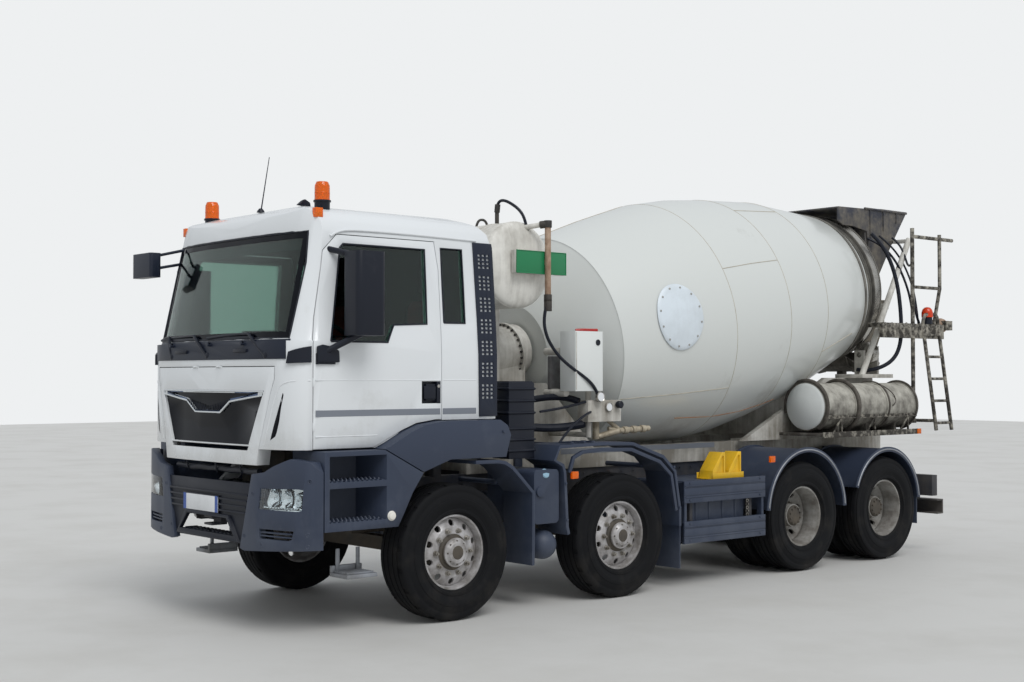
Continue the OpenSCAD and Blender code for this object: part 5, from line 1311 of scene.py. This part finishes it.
bothSides("sideMarkerLamps", joined(lampBlocks), bothChassis, amberLens)
rackLamp = block(at(1.098, 7.87, 1.262), at(1.112, 7.945, 1.318), 0.004, 2)
finishPiece("rackShelfLamp", rackLamp, "chassis", amberLens)
# pale lines on the mudguard lips: painted highlight along the edge
lips = [hose([at(flank["lipX"], y + across, z + up) for across, up in arcPoints(radius, first, last, 40)],
             0.007, smooth=False) for y, z, radius, first, last in flank["lips"]]
bothSides("mudguardLipHighlights", joined(lips), bothChassis, edgeHighlightSilver)
cap = turned(at(1.205, 2.40, 1.085), (1, 0, 0.4), flank["cap"], 36)
finishPiece("reagentCap", cap, "chassis", paleBlueCap)
clips = [block(at(1.10, y, z), at(1.25, y + 0.025, z + 0.012), 0.003, 1) for y, z in flank["clips"]]
clips += [rod(at(1.246, y, z), at(1.2535, y, z), 0.011, 0.001, 12) for y, z in flank["studs"]]
bothSides("mudguardClips", joined(clips), bothChassis, slatePlastic)
guardLines = [hose([at(1.2375, 4.06, z), at(1.2375, 5.15, z)], 0.0045, smooth=False) for z in flank["ribs"]]
guardLines += [rod(at(1.2365, y, z), at(1.2425, y, z), 0.010, 0.001, 12) for y in (4.12, 5.09)
               for z in flank["ribStuds"]]
bothSides("sideGuardRibs", joined(guardLines), bothChassis, slatePlastic)
guardPosts = [block(at(1.12, y, 0.42), at(1.175, y + 0.04, 0.90), 0.004) for y in flank["posts"]]
bothSides("sideGuardPosts", joined(guardPosts), bothChassis, chassisPaint)
chainLinks = [turned(at(1.17, 4.98, 0.72 - 0.032 * k), (0, 1, 0) if k % 2 else sideways, flank["link"], 16)
              for k in range(5)]
bothSides("chockChain", joined(chainLinks), bothChassis, brightSteel)
greyStrip = block(at(0.4505, 3.28, 1.178), at(0.4525, 5.35, 1.226), 0.0008, 1)
bothSides("subframeStripe", greyStrip, bothChassis, greyFilm)
railBolts = []
for k in range(34):
    y = 2.3 + flank["railBoltStep"] * k
    railBolts += [rod(at(0.4395, y, z), at(0.4475, y, z), 0.0105, 0.001, 6) for z in (0.86, 1.0)]
bothSides("railBolts", joined(railBolts), bothChassis, chassisPaint)
print("side details done")

# drum: plate seams, a weep of rust, the worn collar at the mouth and painted shadow at the ring's edges

drumMarks = {
    # along from, along to, turn of each seam that runs along the drum
    "seams": [(0.02, 1.29, -32.8), (1.305, 2.14, 24.3), (0.0, 1.3, 96), (1.3, 2.15, 150), (2.15, 2.85, 60),
              (0.02, 1.3, 214), (1.3, 2.15, 270), (2.15, 2.85, 200), (2.86, 3.6, 330)],
    "rings": (1.30, 2.15, 2.853), "lift": 0.0012,
    "collar": ((3.80, 0.045, 0.012), (3.92, 0.03, 0.018), (4.00, 0.02, 0.03)),  # along, width, rise
    "ringEdgeShadows": (4.048, 4.158), "ringShadowSize": (0.74, 0.806, 0.014)}
plateSeams = [hose([onDrum(a + (b - a) * k / 12, degrees, drumMarks["lift"]) for k in range(13)],
                   0.0035, smooth=False, sides=1) for a, b, degrees in drumMarks["seams"]]
for along in drumMarks["rings"]:
    foot, crest = drumRadius(along) - 0.003, drumRadius(along) + 0.0018
    beadProfile = [(along - 0.004, foot), (along - 0.002, crest), (along + 0.002, crest),
                   (along + 0.004, foot)]
    plateSeams.append(turned(drumStart, drumAxis, beadProfile, 144))
finishPiece("drumPlateSeams", joined(plateSeams), "drum_body", seamStain)
rustRun = hose([onDrum(0.80 + 0.135 * k, -49.6 - 0.35 * k - 0.03 * k * k, drumMarks["lift"])
                for k in range(13)],
               0.0048, smooth=True, sides=1)
finishPiece("drumRustLine", rustRun, "drum_body", rustLine)
collar = []
for along, width, rise in drumMarks["collar"]:
    near, far = drumRadius(along), drumRadius(along + width)
    end = along + width
    bandProfile = [(along, near - 0.01), (along, near + rise), (end, far + rise), (end, far - 0.01)]
    collar.append(turned(drumStart, drumAxis, bandProfile, 128, 0.003))
finishPiece("mouthCollar", joined(collar), "drum_body", darkCrustAndRingShadow)
# dark discs at both edges of the running ring: painted shadow where the ring stands off the drum
inner, outer, width = drumMarks["ringShadowSize"]
ringShadowDiscs = []
for along in drumMarks["ringEdgeShadows"]:
    shadowProfile = [(along, inner), (along, outer), (along + width, outer), (along + width, inner)]
    ringShadowDiscs.append(turned(drumStart, drumAxis, shadowProfile, 128, 0.002))
finishPiece("ringEdgeShadows", joined(ringShadowDiscs), "drum_body", darkCrustAndRingShadow)

# chute rack: hoops, angle with struts, dished end, shelf edge and wire

rack = {"x": 0.85, "z": 1.57, "front": 6.292, "angle": (6.30, 7.88), "struts": (6.55, 7.12, 7.72),
        # y, first and last degree, radius and thickness of each hoop
        "hoops": ((6.30, -55, 195, 0.262, 0.021), (6.83, -70, 200, 0.262, 0.023),
                  (7.38, -80, 200, 0.252, 0.010), (7.88, -80, 200, 0.255, 0.013)),
        "end": [(0.0, 0), (0.0, 0.234), (0.012, 0.236), (0.02, 0.226), (0.026, 0.205), (0.064, 0.11),
                (0.072, 0)],
        "wire": [(0.95, 7.34, 1.815), (1.04, 7.42, 1.76), (1.09, 7.50, 1.68), (1.07, 7.55, 1.60),
                 (1.098, 7.44, 1.57)]}
hoops = [hose([at(rack["x"] + across, y, rack["z"] + up)
               for across, up in arcPoints(radius, first, last, 36)],
              thick, smooth=False) for y, first, last, radius, thick in rack["hoops"]]
finishPiece("rackHoops", joined(hoops), "chassis", wornSteel)
near, far = rack["angle"]
struts = [block(at(1.072, near, 1.452), at(1.104, far, 1.458), 0.0015, 1),
          block(at(1.072, near, 1.452), at(1.077, far, 1.486), 0.0015, 1)]
for y in rack["struts"]:
    struts += [rod(at(1.09, y, 1.46), at(1.06, y + aside, 1.30), 0.011) for aside in (-0.09, 0.05)]
finishPiece("rackAngleAndStruts", joined(struts), "chassis", chippedEnamel)
endDisc = turned(at(rack["x"], rack["front"], rack["z"]), forward, rack["end"], 64)
finishPiece("rackEndDome", endDisc, "chassis", cleanEnamel)
shelfEdge = block(at(1.098, 6.232, 1.262), at(1.106, 7.948, 1.318), 0.002)
finishPiece("rackShelfEdge", shelfEdge, "chassis", chippedEnamel)
finishPiece("rackWire", hose(route(rack["wire"]), 0.006), "chassis", wornSteel)

# hoses, beacon and work lamp at the discharge end, and the hoop over the ladder

rear = {
    "hoses": (
        ([(0.72, 7.62, 3.42), (0.80, 7.72, 3.30), (0.88, 7.80, 3.05), (0.925, 7.83, 2.75),
          (0.935, 7.85, 2.46),
          (0.93, 7.85, 2.25), (0.90, 7.80, 2.08), (0.82, 7.68, 1.97), (0.68, 7.58, 1.93), (0.57, 7.55, 1.95)],
          0.021),
        ([(0.50, 7.86, 3.40), (0.62, 7.95, 3.33), (0.72, 8.05, 3.18), (0.80, 8.12, 2.95), (0.86, 8.16, 2.70),
          (0.88, 8.16, 2.45)], 0.013),
        ([(0.52, 8.05, 3.44), (0.66, 8.14, 3.30), (0.78, 8.22, 3.05), (0.85, 8.26, 2.75), (0.87, 8.27, 2.45)],
         0.011),
        ([(0.94, 8.04, 3.10), (0.86, 8.10, 3.06), (0.78, 8.18, 3.16), (0.70, 8.20, 3.34), (0.60, 8.18, 3.42)],
         0.012),
        ([(0.94, 8.06, 2.86), (0.88, 8.16, 2.62), (0.90, 8.24, 2.46)], 0.014)),
    "beacon": (0.95, 8.32), "baseZ": 2.45, "domeZ": 2.525,
    "base": [(0, 0), (0, 0.055), (0.07, 0.055), (0.075, 0.05), (0.075, 0)],
    "dome": [(0, 0), (0, 0.062), (0.05, 0.062), (0.085, 0.052), (0.108, 0.03), (0.114, 0)],
    "workLamp": [(-0.06, 0), (-0.06, 0.05), (-0.03, 0.078), (0.06, 0.085), (0.085, 0.08), (0.078, 0.07),
                 (0.07, 0)],
    "hoop": [(0.97, 8.20, 2.44), (0.972, 8.21, 2.53), (0.975, 8.26, 2.565), (0.975, 8.44, 2.565),
             (0.972, 8.49, 2.53), (0.97, 8.50, 2.44)],
    "lumps": 26}
rearHoses = [hose(route(points), radius) for points, radius in rear["hoses"]]
finishPiece("rearHoses", joined(rearHoses), "chassis", blackPlastic)
beaconBase = turned(at(*rear["beacon"], rear["baseZ"]), upward, rear["base"], 40)
beaconDome = turned(at(*rear["beacon"], rear["domeZ"]), upward, rear["dome"], 48)
finishPiece("rearBeaconBase", beaconBase, "chassis", blackPlastic)
finishPiece("rearBeaconDome", beaconDome, "chassis", orangeLens)
workLamp = turned(at(0.77, 8.80, 2.45), (0, 1, 0), rear["workLamp"], 40)
finishPiece("rearWorkLamp", workLamp, "chassis", rustyPipe)
finishPiece("ladderTopHoop", hose(route(rear["hoop"]), 0.019), "chassis", chippedEnamel)
lumps = []  # hardened drips of cement along the platform's edge
for k in range(rear["lumps"]):
    spot = at(0.982, 7.45 + 0.043 * k, 2.425 + 0.012 * math.sin(k * 2.1))
    axis = (1, 0.2 * math.sin(k), 0.3 * math.cos(k * 1.7))
    girth = 0.02 + 0.006 * math.sin(k * 3.3)
    lumps.append(turned(spot, axis, [(-0.01, 0), (-0.008, girth), (0.004, 0.012), (0.007, 0)], 7))
finishPiece("platformCementLumps", joined(lumps), "chassis", crustedSteel)
print("discharge end done")

# cab interior: dark lining on the inner faces of shell and doors


def insideCab(x, y, z, n):
    if not (1.5 < z < 3.13 and abs(x) < 1.10):
        return False
    wall = n.x * x < -0.35 and abs(x) > 0.85
    ceiling = n.z < -0.5 and z > 2.88 and abs(x) < 1.0
    rearWall = n.y < -0.5 and y > 1.7
    floorPan = n.z > 0.6 and z < 1.75 and abs(x) < 1.06
    frontWall = n.y > 0.4 and y < 0.7
    return wall or ceiling or rearWall or floorPan or frontWall


for node in ("cab_shell", "door_left", "door_right"):
    paintWhere(pieceOf[node], darkLining, insideCab)

# seats: each pad is swollen by cloth under pressure, then given its piping

seat = {"x": 0.61, "voxel": 0.009, "pressure": 4.0, "cap": 0.024, "frames": 20, "fill": 0.7,
        "cushion": [(1.06, 1.765), (1.055, 1.80), (1.10, 1.842), (1.30, 1.832), (1.52, 1.828), (1.545, 1.775),
                    (1.53, 1.745), (1.09, 1.745)],
        "back": [(1.50, 1.865), (1.555, 2.18), (1.605, 2.46), (1.645, 2.515), (1.695, 2.505), (1.695, 2.44),
                 (1.655, 2.15), (1.60, 1.80), (1.56, 1.78)],
        "head": [(1.625, 2.56), (1.63, 2.70), (1.66, 2.745), (1.70, 2.74), (1.725, 2.70), (1.715, 2.57),
                 (1.69, 2.545)],
        "cushionHalf": 0.225, "backHalf": 0.21, "headHalf": 0.12,
        "cushionPiping": ((1.08, 1.862), (1.3, 1.862), (1.5, 1.855)),
        "backPiping": ((1.495, 1.92), (1.535, 2.18), (1.585, 2.44)),
        "channels": ((1.512, 2.05), (1.54, 2.22), (1.572, 2.38))}


def swollen(form):
    first = [vertex.co.copy() for vertex in form.data.vertices]
    focus(form)
    cloth = form.modifiers.new("cloth", "CLOTH")
    cloth.settings.use_pressure = True
    cloth.settings.uniform_pressure_force = seat["pressure"]
    cloth.settings.effector_weights.gravity = 0
    cloth.point_cache.frame_start, cloth.point_cache.frame_end = 1, seat["frames"]
    for frameNumber in range(1, seat["frames"] + 1):
        bpy.context.scene.frame_set(frameNumber)
    bpy.ops.object.modifier_apply(modifier=cloth.name)
    bpy.context.scene.frame_set(1)
    for vertex, start in zip(form.data.vertices, first):
        move = vertex.co - start
        if move.length > seat["cap"]:
            vertex.co = start + move * (seat["cap"] / move.length)


def paddedForm(part):
    half = seat[part + "Half"]
    form = plate([at(seat["x"] - half, y, z) for y, z in seat[part]], (2 * half, 0, 0), 0.016, 3)
    applyModifier(form, "REMESH", mode="VOXEL", voxel_size=seat["voxel"])
    swollen(form)
    applyModifier(form, "SUBSURF", levels=1, render_levels=1)
    print("seat", part, "padded")
    return form


for part, model in [(part, paddedForm(part)) for part in ("cushion", "back", "head")]:
    cover = darkCloth if part == "head" else seatCloth
    twin = otherSide(model)
    for piece, side in ((model, "Left"), (twin, "Right")):
        finishPiece(f"seat{part.title()}{side}", piece, "cab", cover, 60)
piping = [hose([at(seat["x"] + aside, y, z) for y, z in seat["cushionPiping"]], 0.006, sides=2)
          for aside in (-0.20, 0.20)]
piping += [hose([at(seat["x"] + aside, y, z) for y, z in seat["backPiping"]], 0.006, sides=2)
           for aside in (-0.19, 0.19)]
for y, z in seat["channels"]:
    ends = [at(seat["x"] - 0.19, y, z), at(seat["x"], y - 0.002, z), at(seat["x"] + 0.19, y, z)]
    piping.append(hose(ends, 0.005, sides=2))
bothSides("seatPiping", joined(piping), bothCab, darkCloth)
posts = [rod(at(seat["x"] + aside, 1.665, 2.48), at(seat["x"] + aside, 1.68, 2.60), 0.008)
         for aside in (-0.06, 0.06)]
cushionFrame = block(at(seat["x"] - 0.2, 1.12, 1.70), at(seat["x"] + 0.2, 1.52, 1.752), 0.012)
posts.append(cushionFrame)
bothSides("seatPosts", joined(posts), bothCab, blackPlastic)

# dashboard: rings of the two dials and the air vents

dash = {"dials": (0.52, 0.66),
        "dial": [(0, 0), (0, 0.05), (0.006, 0.05), (0.008, 0.046), (0.003, 0.044), (0.003, 0)],
        "vents": (-0.85, 0.25, 0.15)}  # first x, step and width
dialRings = [turned(at(x, 0.47, 2.16), (0, 0.92, 0.4), dash["dial"], 32) for x in dash["dials"]]
finishPiece("dashDials", joined(dialRings), "cab", glossBlack)
firstX, stepX, width = dash["vents"]
vents = [block(at(firstX + stepX * k, 0.555, 2.02), at(firstX + stepX * k + width, 0.575, 2.07), 0.004)
         for k in range(5)]
finishPiece("dashVents", joined(vents), "cab", glossBlack)
print("cab interior done")
